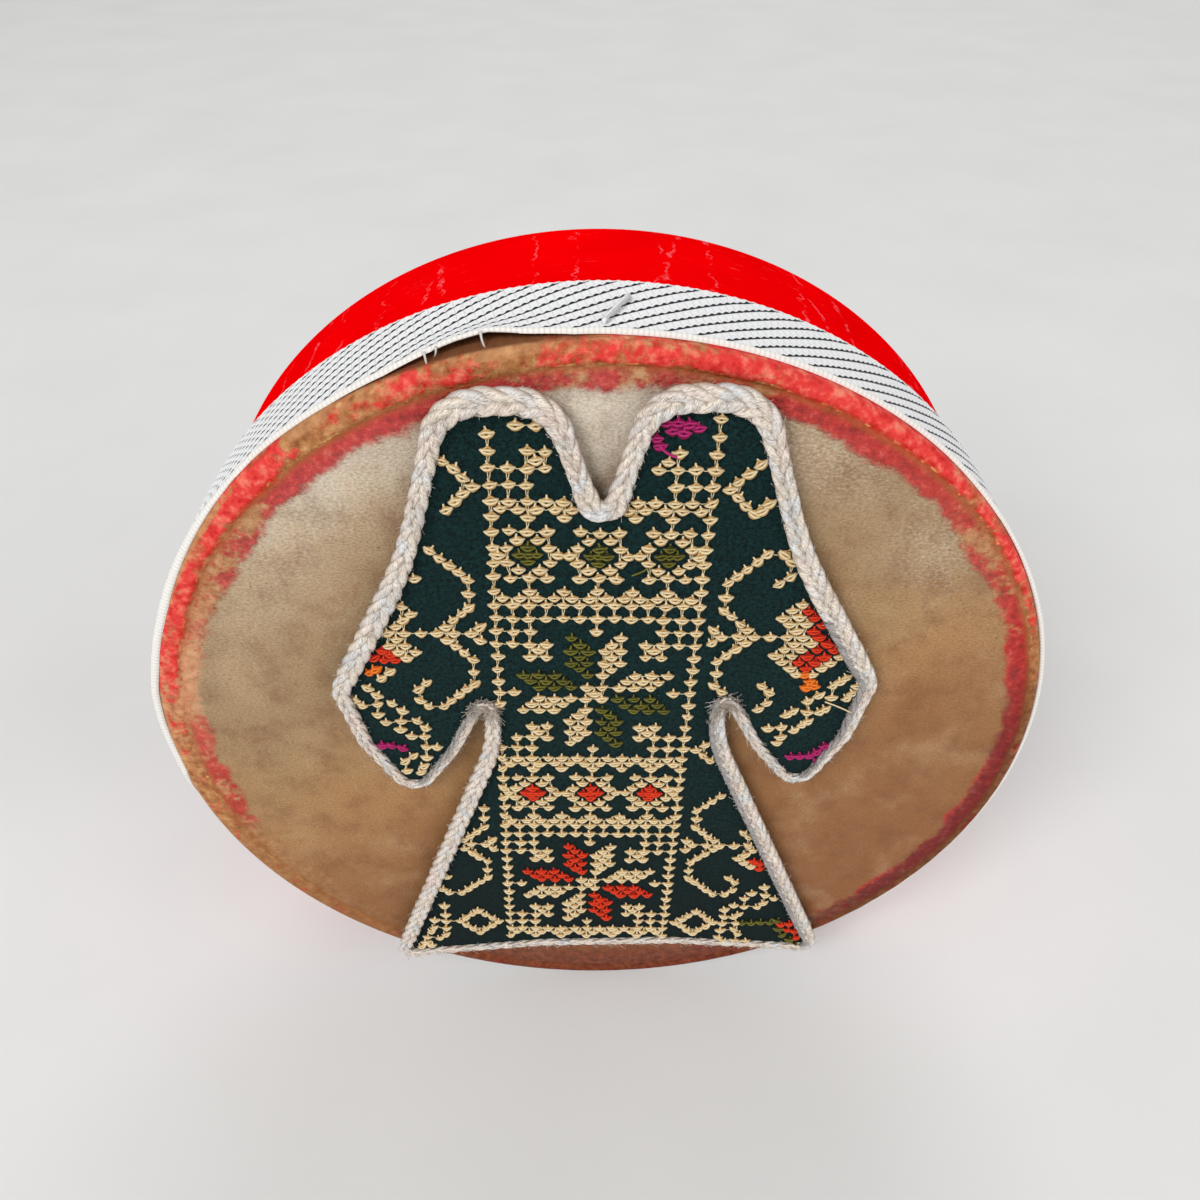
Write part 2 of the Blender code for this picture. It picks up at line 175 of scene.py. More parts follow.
class Shape:
    """Vertices and faces of one piece, with each vertex's place on the unrolled material."""

    def __init__(self):
        self.points = []
        self.lies = []
        self.faces = []
        self.slots = []
        self.count = 0

    def add(self, points, faces, slot=0, lies=None):
        points = np.asarray(points, float).reshape(-1, 3)
        self.points.append(points)
        self.lies.append(points if lies is None else np.asarray(lies, float).reshape(-1, 3))
        for face in faces:
            self.faces.append([int(i) + self.count for i in face])
            self.slots.append(slot)
        self.count += len(points)

    def build(self, name, materials, replaced=(), body="drum", sharp=50.0, outward=True):
        mesh = bpy.data.meshes.new(name)
        places = (np.concatenate(self.points) + CENTRE) * MM
        mesh.from_pydata(places.tolist(), [], self.faces)
        for material in materials:
            mesh.materials.append(material)
        mesh.polygons.foreach_set("material_index", self.slots)
        mesh.polygons.foreach_set("use_smooth", [True] * len(self.faces))
        lie = mesh.attributes.new("lie", "FLOAT_VECTOR", "POINT")
        lie.data.foreach_set("vector", np.concatenate(self.lies).ravel())
        if outward:
            bm = bmesh.new()
            bm.from_mesh(mesh)
            bmesh.ops.recalc_face_normals(bm, faces=bm.faces)
            bm.to_mesh(mesh)
            bm.free()
        mesh.set_sharp_from_angle(angle=math.radians(sharp))
        piece = in_scene(name, mesh)
        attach(piece, body)
        if replaced:
            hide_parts(*replaced)
        return piece


def grid_faces(rows, columns, wrap_rows=False, wrap_columns=False):
    """Four-cornered faces of a grid of vertices that is numbered row by row."""
    faces = []
    for i in range(rows if wrap_rows else rows - 1):
        for j in range(columns if wrap_columns else columns - 1):
            k = (i + 1) % rows
            m = (j + 1) % columns
            faces.append((i * columns + j, i * columns + m, k * columns + m, k * columns + j))
    return faces


def polar(angle, radius, depth):
    return np.stack([radius * np.cos(angle), depth + 0 * angle, radius * np.sin(angle)], axis=-1)


def spoke(degrees):
    """Unit directions outwards and anticlockwise at an angle round the drum."""
    angle = math.radians(degrees)
    outward = np.array((math.cos(angle), 0.0, math.sin(angle)))
    return outward, np.array((-outward[2], 0.0, outward[0]))


def tube(shape, path, radius, sides=6, closed=False, slot=0, up=None, flatten=1.0, plies=None):
    """Sweep a round or flattened section along a path.

    up fixes the section's second axis; plies is a number of lengthwise grooves, their depth and their twist.
    """
    path = np.asarray(path, float)
    count = len(path)
    if closed:
        tangent = np.roll(path, -1, axis=0) - np.roll(path, 1, axis=0)
    else:
        tangent = np.gradient(path, axis=0)
    tangent /= np.linalg.norm(tangent, axis=1)[:, None]
    if up is None:
        guess = REARWARD if abs(tangent[0][1]) < 0.9 else np.array((1.0, 0.0, 0.0))
        second = np.empty_like(path)
        for i in range(count):
            guess = guess - tangent[i] * guess.dot(tangent[i])
            guess = guess / np.linalg.norm(guess)
            second[i] = guess
    else:
        second = up - tangent * (tangent @ up)[:, None]
        second /= np.linalg.norm(second, axis=1)[:, None]
    first = np.cross(second, tangent)
    radius = np.broadcast_to(np.asarray(radius, float), count)
    flatten = np.broadcast_to(np.asarray(flatten, float), count)[:, None]
    turn = np.arange(sides) * 2 * math.pi / sides
    steps = np.linalg.norm(np.diff(path, axis=0), axis=1)
    run = np.concatenate([[0.0], np.cumsum(steps)])
    reach = np.broadcast_to(radius[:, None], (count, sides))
    if plies:
        number, dip, twist = plies
        lay = math.pi * round(run[-1] * twist / math.pi) * np.arange(count) / count if closed else run * twist
        reach = reach * (1.04 - dip + dip * np.abs(np.cos(lay[:, None] + turn * number / 2)))
    across = (reach * np.cos(turn))[..., None]
    rise = (reach * np.sin(turn) * flatten)[..., None]
    points = path[:, None] + first[:, None] * across + second[:, None] * rise
    lies = np.concatenate([np.broadcast_to(run[:, None, None], across.shape), across, rise], axis=2)
    faces = grid_faces(count, sides, wrap_rows=closed, wrap_columns=True)
    if not closed:
        faces.append(tuple(range(sides)))
        faces.append(tuple(range((count - 1) * sides, count * sides)))
    shape.add(points, faces, slot, lies)


class Value:
    """A shader value that sums, products, ranges and tints are made of."""

    def __init__(self, look, socket):
        self.look = look
        self.socket = socket

    def __add__(self, other):
        return self.look.math("ADD", self, other)

    def __sub__(self, other):
        return self.look.math("SUBTRACT", self, other)

    def __rsub__(self, other):
        return self.look.math("SUBTRACT", other, self)

    def __mul__(self, other):
        return self.look.math("MULTIPLY", self, other)

    def __truediv__(self, other):
        return self.look.math("DIVIDE", self, other)

    def __abs__(self):
        return self.look.math("ABSOLUTE", self)

    def span(self, low, high, to_low=0.0, to_high=1.0):
        """The value spread smoothly from one range onto another."""
        inputs = {"Value": self, "From Min": low, "From Max": high, "To Min": to_low, "To Max": to_high}
        return self.look.node("MapRange", inputs, interpolation_type="SMOOTHSTEP")

    def tint(self, factor, red, green, blue):
        return self.look.mix(factor, self, srgb(red, green, blue))


class Surface:
    """A shader whose colour, gloss and relief come from procedural nodes."""

    def __init__(self, name, **values):
        self.material = bpy.data.materials.new(name)
        self.material.use_nodes = True
        self.tree = self.material.node_tree
        self.shader = self.tree.nodes["Principled BSDF"]
        self.feed(**values)

    def connect(self, value, entry):
        if isinstance(value, Value):
            self.tree.links.new(value.socket, entry)
        else:
            entry.default_value = value

    def node(self, kind, inputs, output=0, **settings):
        node = self.tree.nodes.new("ShaderNode" + kind)
        for key, value in settings.items():
            setattr(node, key, value)
        for key, value in inputs.items():
            self.connect(value, node.inputs[key])
        return Value(self, node.outputs[output])

    def place(self):
        """Position on the piece, in millimetres from the drum's centre at the skin."""
        spot = self.stretch(self.node("TexCoord", {}, "Object"), (1 / MM, 1 / MM, 1 / MM))
        return self.node("VectorMath", {0: spot, 1: tuple(CENTRE)}, operation="SUBTRACT")

    def lie(self):
        return self.node("Attribute", {}, "Vector", attribute_name="lie")

    def split(self, vector):
        node = self.node("SeparateXYZ", {0: vector}).socket.node
        return [Value(self, socket) for socket in node.outputs]

    def join(self, x, y, z):
        return self.node("CombineXYZ", {0: x, 1: y, 2: z})

    def length(self, vector):
        return self.node("VectorMath", {0: vector}, "Value", operation="LENGTH")

    def stretch(self, vector, scale):
        return self.node("VectorMath", {0: vector, 1: scale}, operation="MULTIPLY")

    def math(self, operation, first, second=0.0):
        return self.node("Math", {0: first, 1: second}, operation=operation)

    def noise(self, vector, scale, detail=3.0, roughness=0.5):
        inputs = {"Vector": vector, "Scale": scale, "Detail": detail, "Roughness": roughness}
        return self.node("TexNoise", inputs)

    def cracks(self, vector, scale):
        inputs = {"Vector": vector, "Scale": scale}
        return self.node("TexVoronoi", inputs, "Distance", feature="DISTANCE_TO_EDGE")

    def mix(self, factor, first, second):
        return self.node("Mix", {0: factor, 6: first, 7: second}, 2, data_type="RGBA")

    def ramp(self, value, *stops):
        """Linear colours by value, as (position, colour)."""
        colours = self.node("ValToRGB", {0: value})
        elements = colours.socket.node.color_ramp.elements
        elements.remove(elements[1])
        elements[0].position, elements[0].color = stops[0]
        for position, colour in stops[1:]:
            elements.new(position).color = colour
        return colours

    def shades(self, value, *stops):
        """Display colours by value, as (position, red, green, blue)."""
        return self.ramp(value, *((position, srgb(*colour)) for position, *colour in stops))

    def relief(self, height, distance):
        bump = self.node("Bump", {"Height": height, "Distance": distance * MM, "Strength": 1.0})
        self.feed(Normal=bump)

    def feed(self, **values):
        for key, value in values.items():
            self.connect(value, self.shader.inputs[key.replace("_", " ")])
        return self.material


def lacquer():
    look = Surface("red_lacquer", Specular_IOR_Level=0.0)
    place = look.place()
    x, depth, z = look.split(place)
    round_hoop = look.math("ARCTAN2", z, x) * HOOP_OUTER
    cloud = look.noise(place, 0.06, 4.0)
    colour = look.shades(cloud, (0.3, 238, 0, 4), (0.7, 252, 0, 4))

    # Fine cracks that run across the hoop, and rubbed streaks by its rear edge
    stray = (look.noise(place, 0.16, 5.0, 0.7) - 0.5) * 9.0
    unrolled = look.join(round_hoop + stray, depth * 0.12, 0.0)
    lines = look.cracks(unrolled, 0.065)
    worn = look.noise(place, 0.2, 4.0, 0.6).span(0.44, 0.62)
    crackle = lines.span(0.002, 0.016, 0.5, 0.0) * worn
    streak = look.join(round_hoop * 0.16, depth * 1.1, 0.0)
    rub = look.noise(streak, 1.0, 5.0, 0.7).span(0.60, 0.72)
    patch = look.noise(place, 0.05, 2.0).span(0.42, 0.58)
    scuff = depth.span(30.0, 56.0) * patch * rub * 0.4
    marks = look.math("MAXIMUM", crackle, scuff)
    colour = colour.tint(marks, 255, 132, 140)
    reach = look.length(look.join(x, 0.0, z))
    edge = depth.span(57.0, 57.9) * reach.span(HOOP_OUTER - 1.2, HOOP_OUTER - 0.3)
    bare = edge * look.noise(place, 0.5, 4.0).span(0.4, 0.6, 0.25, 0.9)
    colour = colour.tint(bare, 214, 128, 108)
    rough = look.noise(place, 0.8, 4.0).span(0.2, 0.8, 0.2, 0.34) + marks * 0.3
    look.relief(look.noise(place, 0.25, 3.0) - marks * 0.4, 0.12)
    return look.feed(Base_Color=colour, Roughness=rough)


def bare_wood():
    look = Surface("bare_wood", Specular_IOR_Level=0.35)
    place = look.place()
    x, depth, z = look.split(place)
    turn = look.math("ARCTAN2", z, x) * 1.6
    grain = look.join(turn, depth * 0.55, turn * 0.3)
    streak = look.noise(grain, 1.0, 6.0, 0.65)
    fine = look.noise(look.stretch(grain, (6.0, 6.0, 1.0)), 1.0, 3.0, 0.6)
    colour = look.shades(streak, (0.25, 150, 104, 62), (0.5, 193, 150, 102), (0.75, 214, 176, 128))
    colour = colour.tint(fine.span(0.35, 0.75, 0.0, 0.45), 140, 96, 58)
    spill = depth + look.noise(place, 0.2, 4.0, 0.6) * 9.0
    colour = colour.tint(spill.span(59.6, 60.6), 196, 14, 14)
    look.relief(streak + fine * 0.6, 0.15)
    return look.feed(Base_Color=colour, Roughness=fine.span(0.2, 0.8, 0.5, 0.7))


# How much of each stain, tan, scuff, painted sheen, painted highlight, painted shade and painted shadow the
# rim carries, as (angle in degrees, share)
ROLL_RED = (
    (0, 0.3), (8, 0.15), (17, 0.25), (20, 0.75), (23, 0.3), (28, 0.7), (39, 0.75), (43, 0.5), (47, 0.95),
    (62, 0.95), (78, 0.75), (88, 0.55), (94, 0.45), (98, 0.12), (103, 0.15), (106, 0.62), (116, 0.5),
    (120, 0.12), (126, 0.15), (129, 0.75), (131, 0.95), (136, 0.95), (138, 0.7), (156, 0.75),
    (160, 0.65), (167, 0.65), (170, 0.25), (175, 0.45), (181, 0.2), (210, 0.1), (285, 0.35), (360, 0.3),
)
INNER_RED = (
    (0, 0.9), (20, 0.8), (26, 0.55), (36, 0.45), (44, 0.75), (55, 0.95), (68, 0.85), (75, 0.45),
    (86, 0.55), (92, 0.65), (95, 0.4), (99, 0.85), (108, 0.75), (130, 0.85), (136, 0.5), (150, 0.5),
    (158, 0.45), (168, 0.4), (176, 0.5), (185, 0.65), (195, 0.5), (201, 0.2), (208, 0.05), (260, 0.08),
    (285, 0.3), (310, 0.5), (340, 0.8), (360, 0.9),
)
RIM_SHOWN = (
    (0, 1.0), (190, 1.0), (206, 0.45), (222, 0.35), (240, 0.2), (300, 0.3), (312, 0.8), (330, 1.0),
    (360, 1.0),
)
TAN_MARGIN = (
    (0, 0.3), (20, 0.25), (35, 0.1), (90, 0.1), (98, 0.5), (103, 0.5), (106, 0.15), (115, 0.15),
    (118, 0.6), (124, 0.6), (127, 0.1), (134, 0.2), (139, 0.75), (155, 0.75), (158, 0.1), (167, 0.1),
    (171, 0.6), (195, 0.5), (360, 0.3),
)
RIM_PAINTED_HIGHLIGHT = (
    (18, 0.0), (34, 0.1), (60, 0.0), (130, 0.0), (154, 0.1), (160, 0.5), (170, 0.5), (176, 0.2),
    (190, 0.0),
)
RIM_PAINTED_SHADE = (
    (0, 0.55), (6, 0.4), (14, 0.1), (20, 0.0), (194, 0.0), (204, 0.1), (240, 0.15), (300, 0.5),
    (318, 0.68), (345, 0.62), (360, 0.55),
)
SCUFF_AND_SHEEN = (
    (0, 0.0), (30, 0.1), (37, 0.4), (48, 0.1), (60, 0.4), (80, 0.4), (125, 0.4), (145, 0.25), (165, 0.1),
    (180, 0.0),
)
BOTTOM_SHADE = ((234, 0.0), (248, 0.75), (290, 0.85), (304, 0.4), (316, 0.0))
SHADOW_UNDER_LIFT = ((84, 0.0), (92, 0.5), (98, 1.0), (110, 0.9), (120, 0.0))


def goatskin():
    look = Surface("stretched_goatskin", Specular_IOR_Level=0.3)
    place = look.place()
    x, depth, z = look.split(place)
    flat = look.join(x, 0.0, z)
    off_centre = look.join(x - HIDE_SHIFT[0], 0.0, z - HIDE_SHIFT[1])
    radius = look.length(off_centre)
    edge_radius = look.length(flat)
    heading = look.math("ARCTAN2", z, x) / (2 * math.pi)
    stray = (look.noise(flat, 0.16, 5.0, 0.7) - 0.5) * 0.06
    turn = look.math("FRACT", heading + stray)

    def round_the_rim(table):
        return look.ramp(turn, *((angle / 360, (share, share, share, 1.0)) for angle, share in table))

    # Hide: grey-beige at the top, warm brown below and at the right, with a fine directional grain; the pale
    # top is partly painted sheen and the brown below partly painted shade
    drift = x * 0.35 - z + look.noise(flat, 0.022, 4.0, 0.6) * 70.0
    colour = look.shades(
        drift * 0.005 + 0.3,
        (0.02, 222, 207, 184),
        (0.11, 191, 164, 130),
        (0.18, 179, 150, 113),
        (0.30, 173, 142, 103),
        (0.47, 182, 136, 87),
        (0.62, 161, 112, 67),
        (0.90, 151, 95, 53),
    )
    # Painted light: paler skin round a spot at the top middle, by the neck
    off_light_pool = look.node("VectorMath", {0: flat, 1: LIGHT_POOL}, "Value", operation="DISTANCE")
    colour = colour.tint(off_light_pool.span(9.0, 26.0, 0.75, 0.0), 240, 228, 208)
    cloud = look.noise(flat, 0.07, 5.0, 0.6)
    colour = colour.tint(cloud.span(0.48, 0.72, 0.0, 0.3), 214, 178, 136)
    mottle = look.noise(flat, 0.12, 5.0, 0.65)
    colour = colour.tint(mottle.span(0.42, 0.72, 0.0, 0.5), 126, 76, 40)
    grain = look.noise(look.stretch(flat, (1.0, 1.0, 1.7)), 1.5, 3.0, 0.6)
    colour = colour.tint(grain.span(0.35, 0.7, 0.0, 0.42), 98, 72, 46)
    # Scuffs and painted sheen: pale specks near the rim, a painted sheen over the upper skin and white scuffs
    # on the right
    speckle = look.noise(look.stretch(flat, (1.0, 1.0, 1.6)), 1.1, 4.0, 0.7)
    scuff_and_sheen = radius.span(70.0, 86.0) * round_the_rim(SCUFF_AND_SHEEN) * speckle.span(0.42, 0.66)
    colour = colour.tint(scuff_and_sheen, 236, 226, 210)
    freckle = look.noise(flat, 0.55, 2.0).span(0.70, 0.78)
    colour = colour.tint(freckle * 0.5, 92, 62, 40)

    # Inside the crease: an ochre band with ragged patches of crimson
    shown = round_the_rim(RIM_SHOWN)
    coarse = look.noise(flat, 0.11, 5.0, 0.65) - 0.5
    fine = look.noise(flat, 0.7, 4.0, 0.7) - 0.5
    wander = (look.noise(flat, 0.05, 3.0) - 0.5) * 7.0
    ragged = coarse * 6.0 + fine * 2.6
    band = (radius + (ragged + wander)).span(89.4, 91.5)
    blend = look.noise(place, 0.5, 4.0, 0.65)
    ochre = look.shades(blend, (0.3, 146, 92, 52), (0.5, 184, 128, 80), (0.7, 210, 166, 120))
    crimson = look.shades(blend, (0.3, 134, 8, 18), (0.54, 196, 30, 36), (0.82, 224, 112, 98))
    stain = round_the_rim(INNER_RED) + coarse * 1.8 + fine * 0.6
    inner = look.mix(stain.span(0.36, 0.64), ochre, crimson)
    colour = look.mix(band * shown * 0.92, colour, inner)

    # Roll over the hoop's edge: tan by the tape, ochre hide and patches of bright red
    wobble = radius + (coarse * 1.4 + fine * 0.9)
    roll = wobble.span(CREASE - 0.2, CREASE + 0.3)
    fleck = look.noise(place, 0.45, 5.0, 0.6)
    hide = look.shades(fleck, (0.3, 132, 80, 46), (0.5, 178, 120, 74), (0.7, 214, 162, 110))
    colour = look.mix(roll * shown, colour, hide)
    blotch = look.noise(place, 0.3, 5.0, 0.7) - 0.5
    outer = round_the_rim(ROLL_RED) + coarse * 1.6 + blotch * 1.6 + fine
    outer = outer + wobble.span(CREASE, CREASE + 1.4, -0.3, 0.05)
    outer = (outer + edge_radius.span(97.4, 98.9, 0.0, -0.15)).span(0.2, 0.8)
    deep = look.shades(fleck, (0.3, 178, 8, 16), (0.5, 214, 22, 28), (0.72, 230, 70, 60))
    coral = look.shades(fleck, (0.3, 206, 30, 36), (0.5, 236, 66, 64), (0.72, 246, 142, 118))
    red = look.mix((wobble + blotch * 3.0).span(95.2, 96.6), deep, coral)
    colour = look.mix(roll * outer * 0.94, colour, red)
    margin = round_the_rim(TAN_MARGIN) + blotch + edge_radius.span(96.2, 97.8, -1.0, 0.0)
    colour = look.mix(margin.span(0.2, 0.6) * shown * 0.9, colour, hide.tint(0.5, 206, 152, 108))

    # Crease and the torn golden fibres along it
    groove = abs(wobble - CREASE).span(0.2, 1.2, 1.0, 0.0)
    colour = colour.tint(groove * shown * 0.55, 162, 90, 50)
    torn = abs(wobble - (CREASE + 0.75)).span(0.08, 0.4, 1.0, 0.0)
    broken = look.noise(place, 0.35, 4.0, 0.7).span(0.52, 0.68)
    colour = colour.tint(torn * broken * (shown * 0.85), 232, 180, 108)
    rim = (radius + ragged).span(89.5, 91.5)
    # Painted highlight: paler patches on the rim, mostly on its left
    painted_highlight = round_the_rim(RIM_PAINTED_HIGHLIGHT) * fleck.span(0.3, 0.62, 0.35, 1.0) * (1.0 - roll * outer)
    colour = colour.tint(rim * painted_highlight, 242, 176, 138)
    # Painted shade: the rim darker on the right and towards the lower right
    colour = colour.tint(rim * round_the_rim(RIM_PAINTED_SHADE), 52, 20, 18)
    bottom = radius.span(80.0, 91.0) * round_the_rim(BOTTOM_SHADE)
    colour = look.mix(bottom, colour, look.shades(blend, (0.35, 84, 24, 16), (0.65, 138, 66, 42)))
    # Painted shadow that the lifted tape casts on the skin below it
    lift_shadow = depth.span(1.0, 2.6) * radius.span(96.6, 97.6)
    colour = colour.tint(lift_shadow * round_the_rim(SHADOW_UNDER_LIFT), 122, 78, 50)
    underside = depth.span(0.9, 1.1) * edge_radius.span(90.6, 90.8, 1.0, 0.0)
    colour = colour.tint(underside * 0.7, 178, 150, 112)

    rough = look.noise(flat, 0.2, 4.0).span(0.3, 0.7, 0.42, 0.58)
    crust = band * (fleck + outer * 0.7)
    look.relief(grain * 0.8 + mottle * 0.8 + crust, 0.28)
    gloss = radius.span(91.0, 96.0, 0.3, 0.06)
    return look.feed(Base_Color=colour, Roughness=rough, Specular_IOR_Level=gloss)


def webbing():
    look = Surface("white_webbing", Specular_IOR_Level=0.15, Sheen_Weight=0.05)
    along, across, _ = look.split(look.lie())
    row = (along - across * TWILL_LEAN) / TWILL_PERIOD
    off_line = abs(look.math("FRACT", row) - 0.5)
    pick = (along + across * KNOT_SHIFT) / KNOT_ALONG
    tooth = abs(look.math("FRACT", pick) - 0.5)
    reach = tooth.span(0.05, 0.45, 0.15, 0.075)
    field = across.span(1.3, 1.8) * across.span(22.6, 23.1, 1.0, 0.0)
    line = (off_line - reach).span(-0.03, 0.03, 1.0, 0.0) * field
    between = tooth.span(0.36, 0.5) * field
    fibre = look.noise(look.stretch(look.lie(), (1.6, 5.0, 1.0)), 1.0, 3.0, 0.6)
    white = look.shades(fibre, (0.3, 232, 232, 233), (0.7, 255, 255, 255))
    # Painted shade, bluish grey, in the hollows between the knots
    white = white.tint(between * 0.3, 150, 156, 168)
    white = white.tint(across.span(0.7, 1.3, 1.0, 0.0) * 0.7, 244, 239, 230)
    # Painted shade: darker stripes across the selvedges at the pitch of their ribs
    rib = abs(look.math("FRACT", along / RIB_PITCH) - 0.5)
    white = white.tint((1.0 - field) * rib.span(0.2, 0.5, 0.0, 0.28), 176, 164, 146)
    colour = white.tint(line, 26, 32, 40)
    look.relief(fibre, 0.12)
    return look.feed(Base_Color=colour, Roughness=fibre.span(0.2, 0.8, 0.75, 0.95))


def steel(name, tint, rough, metal=1.0):
    look = Surface(name, Metallic=metal)
    place = look.place()
    wear = look.noise(place, 1.1, 5.0, 0.7)
    colour = look.ramp(wear, (0.3, tint), (0.7, tuple(0.72 * c for c in tint[:3]) + (1.0,)))
    look.relief(look.noise(place, 3.0, 3.0), 0.03)
    return look.feed(Base_Color=colour, Roughness=wear.span(0.25, 0.75, rough, rough + 0.2))


def dark_cloth(name, dark, pale, pitch):
    dark = srgb(*dark)
    pale = srgb(*pale)
    look = Surface(name, Specular_IOR_Level=0.1, Sheen_Weight=0.03, Sheen_Roughness=0.5)
    x, _, z = look.split(look.place())
    warp = look.math("SINE", x * (2 * math.pi / pitch))
    weft = look.math("SINE", z * (2 * math.pi / pitch))
    weave = warp * weft
    fuzz = look.noise(look.place(), 1.3, 5.0, 0.8)
    tone = weave * 0.06 + fuzz
    colour = look.ramp(tone, (0.38, dark), (0.52, pale), (0.7, tuple(2.2 * c for c in pale[:3]) + (1.0,)))
    # Painted shade: the cloth darker towards the bottom
    colour = look.mix(z.span(-70.0, 10.0, 0.55, 0.0), colour, dark)
    look.relief(weave * 0.5 + fuzz, 0.18)
    return look.feed(Base_Color=colour, Roughness=fuzz.span(0.2, 0.8, 0.85, 1.0))


def yarn(name, tint, shade, twist=0.9, fibre_scale=1.0, cast=()):
    """Twisted fibres along a strand, lighter on its crown, with painted shade on its sides and back, in the
    hollows between strands; cast tints it in patches.
    """
    tint = srgb(*tint)
    shade = srgb(*shade)
    look = Surface(name, Specular_IOR_Level=0.15, Sheen_Weight=0.08, Sheen_Roughness=0.4)
    run, across, rise = look.split(look.lie())
    angle = look.math("ARCTAN2", rise, across)
    lay = angle + run * twist
    spiral = look.join(run * 0.35, look.math("COSINE", lay), look.math("SINE", lay))
    fibre = look.noise(spiral, 4.0 * fibre_scale, 4.0, 0.65)
    patchy = look.noise(look.place(), 0.25, 3.0)
    if cast:
        drift = look.noise(look.place(), 0.2, 3.0)
        cool, warm = (srgb(*colour) for colour in cast)
        tint = look.ramp(drift, (0.36, cool), (0.47, tint), (0.53, tint), (0.64, warm))
    colour = look.mix(fibre.span(0.28, 0.62), shade, tint)
    colour = look.mix(patchy.span(0.4, 0.75, 0.0, 0.3), colour, shade)
    # Painted shade on the sides and back of each strand, away from its crown
    hollow_shade = look.math("SINE", angle).span(-0.85, -0.05, 0.0, 0.8)
    colour = look.mix(hollow_shade, colour, shade)
    look.relief(fibre, 0.12)
    return look.feed(Base_Color=colour, Roughness=fibre.span(0.2, 0.8, 0.65, 0.9))


# Camera at the photograph's place, with the drum's centre line almost in the middle of the frame
CAMERA_PLACE = (0.0, -0.189885, 0.277275)
CAMERA_LENS = 31.12
CAMERA_ELEVATION = 47.286
CAMERA_PAN = -0.123
CAMERA_TILT = -7.702
CAMERA_ROLL = -0.888

elevation = math.radians(CAMERA_ELEVATION)
level = Matrix((
    (1, 0, 0),
    (0, -math.sin(elevation), -math.cos(elevation)),
    (0, math.cos(elevation), -math.sin(elevation)),
))
pan = Matrix.Rotation(math.radians(CAMERA_PAN), 3, "Y")
tilt = Matrix.Rotation(math.radians(CAMERA_TILT), 3, "X")
roll = Matrix.Rotation(math.radians(CAMERA_ROLL), 3, "Z")
aim = roll @ tilt @ pan @ level
camera = in_scene("camera", bpy.data.cameras.new("camera"))
camera.data.lens = CAMERA_LENS
camera.data.sensor_width = 36.0
camera.data.clip_start = 0.01
axes = Matrix((aim[0], -aim[1], -aim[2])).transposed()
camera.matrix_world = Matrix.Translation(CAMERA_PLACE) @ axes.to_4x4()
bpy.context.scene.camera = camera

LIT_POINT = (0, 0, 0.1)
AMBIENT = 0.42
FLOOR_HALF = 4.0


def softbox(name, place, size, power):
    lamp = in_scene(name, bpy.data.lights.new(name, "AREA"))
    lamp.data.shape = "DISK"
    lamp.data.size = size
    lamp.data.energy = power
    lamp.location = place
    lamp.rotation_mode = "QUATERNION"
    lamp.rotation_quaternion = (Vector(LIT_POINT) - Vector(place)).to_track_quat("-Z", "Y")


softbox("key_light", (-1.50, -2.20, 2.45), 1.65, 72.0)
softbox("fill_light", (2.25, -1.65, 1.45), 2.10, 22.0)
softbox("rear_light", (0.45, 2.55, 2.50), 2.10, 24.0)
world = bpy.data.worlds.new("studio")
world.use_nodes = True
sky = world.node_tree.nodes["Background"].inputs
sky["Color"].default_value = (1.0, 1.0, 1.0, 1.0)
sky["Strength"].default_value = AMBIENT
bpy.context.scene.world = world
bpy.context.scene.view_settings.view_transform = "Standard"

floor_mesh = bpy.data.meshes.new("floor")
floor_corners = [(x * FLOOR_HALF, y * FLOOR_HALF, 0) for x, y in ((-1, -1), (1, -1), (1, 1), (-1, 1))]
floor_mesh.from_pydata(floor_corners, [], [(0, 1, 2, 3)])
floor = in_scene("floor", floor_mesh)
paper = Surface("floor_paper", Specular_IOR_Level=0.2)
tone = paper.noise(paper.node("TexCoord", {}, "Object"), 12.0, 3.0)
paper.feed(
    Base_Color=paper.shades(tone, (0.3, 226, 226, 225), (0.7, 230, 230, 229)),
    Roughness=tone.span(0.2, 0.8, 0.75, 0.85),
)
floor_mesh.materials.append(paper.material)


def arc(centre_radius, centre_depth, radius, start, end, steps):
    """Points of a round in a turned section; 0 degrees points outwards and 90 to the rear."""
    points = []
    for i in range(steps + 1):
        angle = math.radians(start + (end - start) * i / steps)
        points.append((centre_radius + radius * math.cos(angle), centre_depth + radius * math.sin(angle)))
    return points


def turned(shape, profile, angles, slot_of=None, closed=True):
    """Turn a section about the drum's axis through a full circle of angles."""
    rows = [polar(angles, radius, depth) for radius, depth in profile]
    count = len(angles)
    faces = grid_faces(len(rows), count, wrap_rows=closed, wrap_columns=True)
    shape.add(np.concatenate(rows), faces)
    if slot_of:
        shape.slots = [slot_of(*np.mean([profile[i // count] for i in face], axis=0)) for face in faces]


def bell(offset, width):
    """A smooth hump, 1 high where the offset is 0."""
    return np.exp(-((offset / width) ** 2))


# Hoop: one bent strip, lacquered outside and bare inside; the ends of its scarf joint are fine grooves
outer_seam = SCARF_ANGLE + SCARF_SPREAD
inner_seam = SCARF_ANGLE - SCARF_SPREAD
stations = set(np.round(np.arange(0, 360, 1.25), 3))
for seam in (outer_seam, inner_seam):
    stations |= {round((seam + offset) % 360, 3) for offset in SEAM_STATIONS}
stations = np.radians(sorted(stations))
rounded = arc(HOOP_OUTER - EDGE_ROUND, HOOP_FRONT + EDGE_ROUND, EDGE_ROUND, -90, 0, 8)
rear_outer = arc(HOOP_OUTER - REAR_ROUND, HOOP_REAR - REAR_ROUND, REAR_ROUND, 0, 90, 5)
rear_inner = arc(HOOP_INNER + REAR_ROUND, HOOP_REAR - REAR_ROUND, REAR_ROUND, 90, 180, 5)
wall_front = HOOP_FRONT + EDGE_ROUND
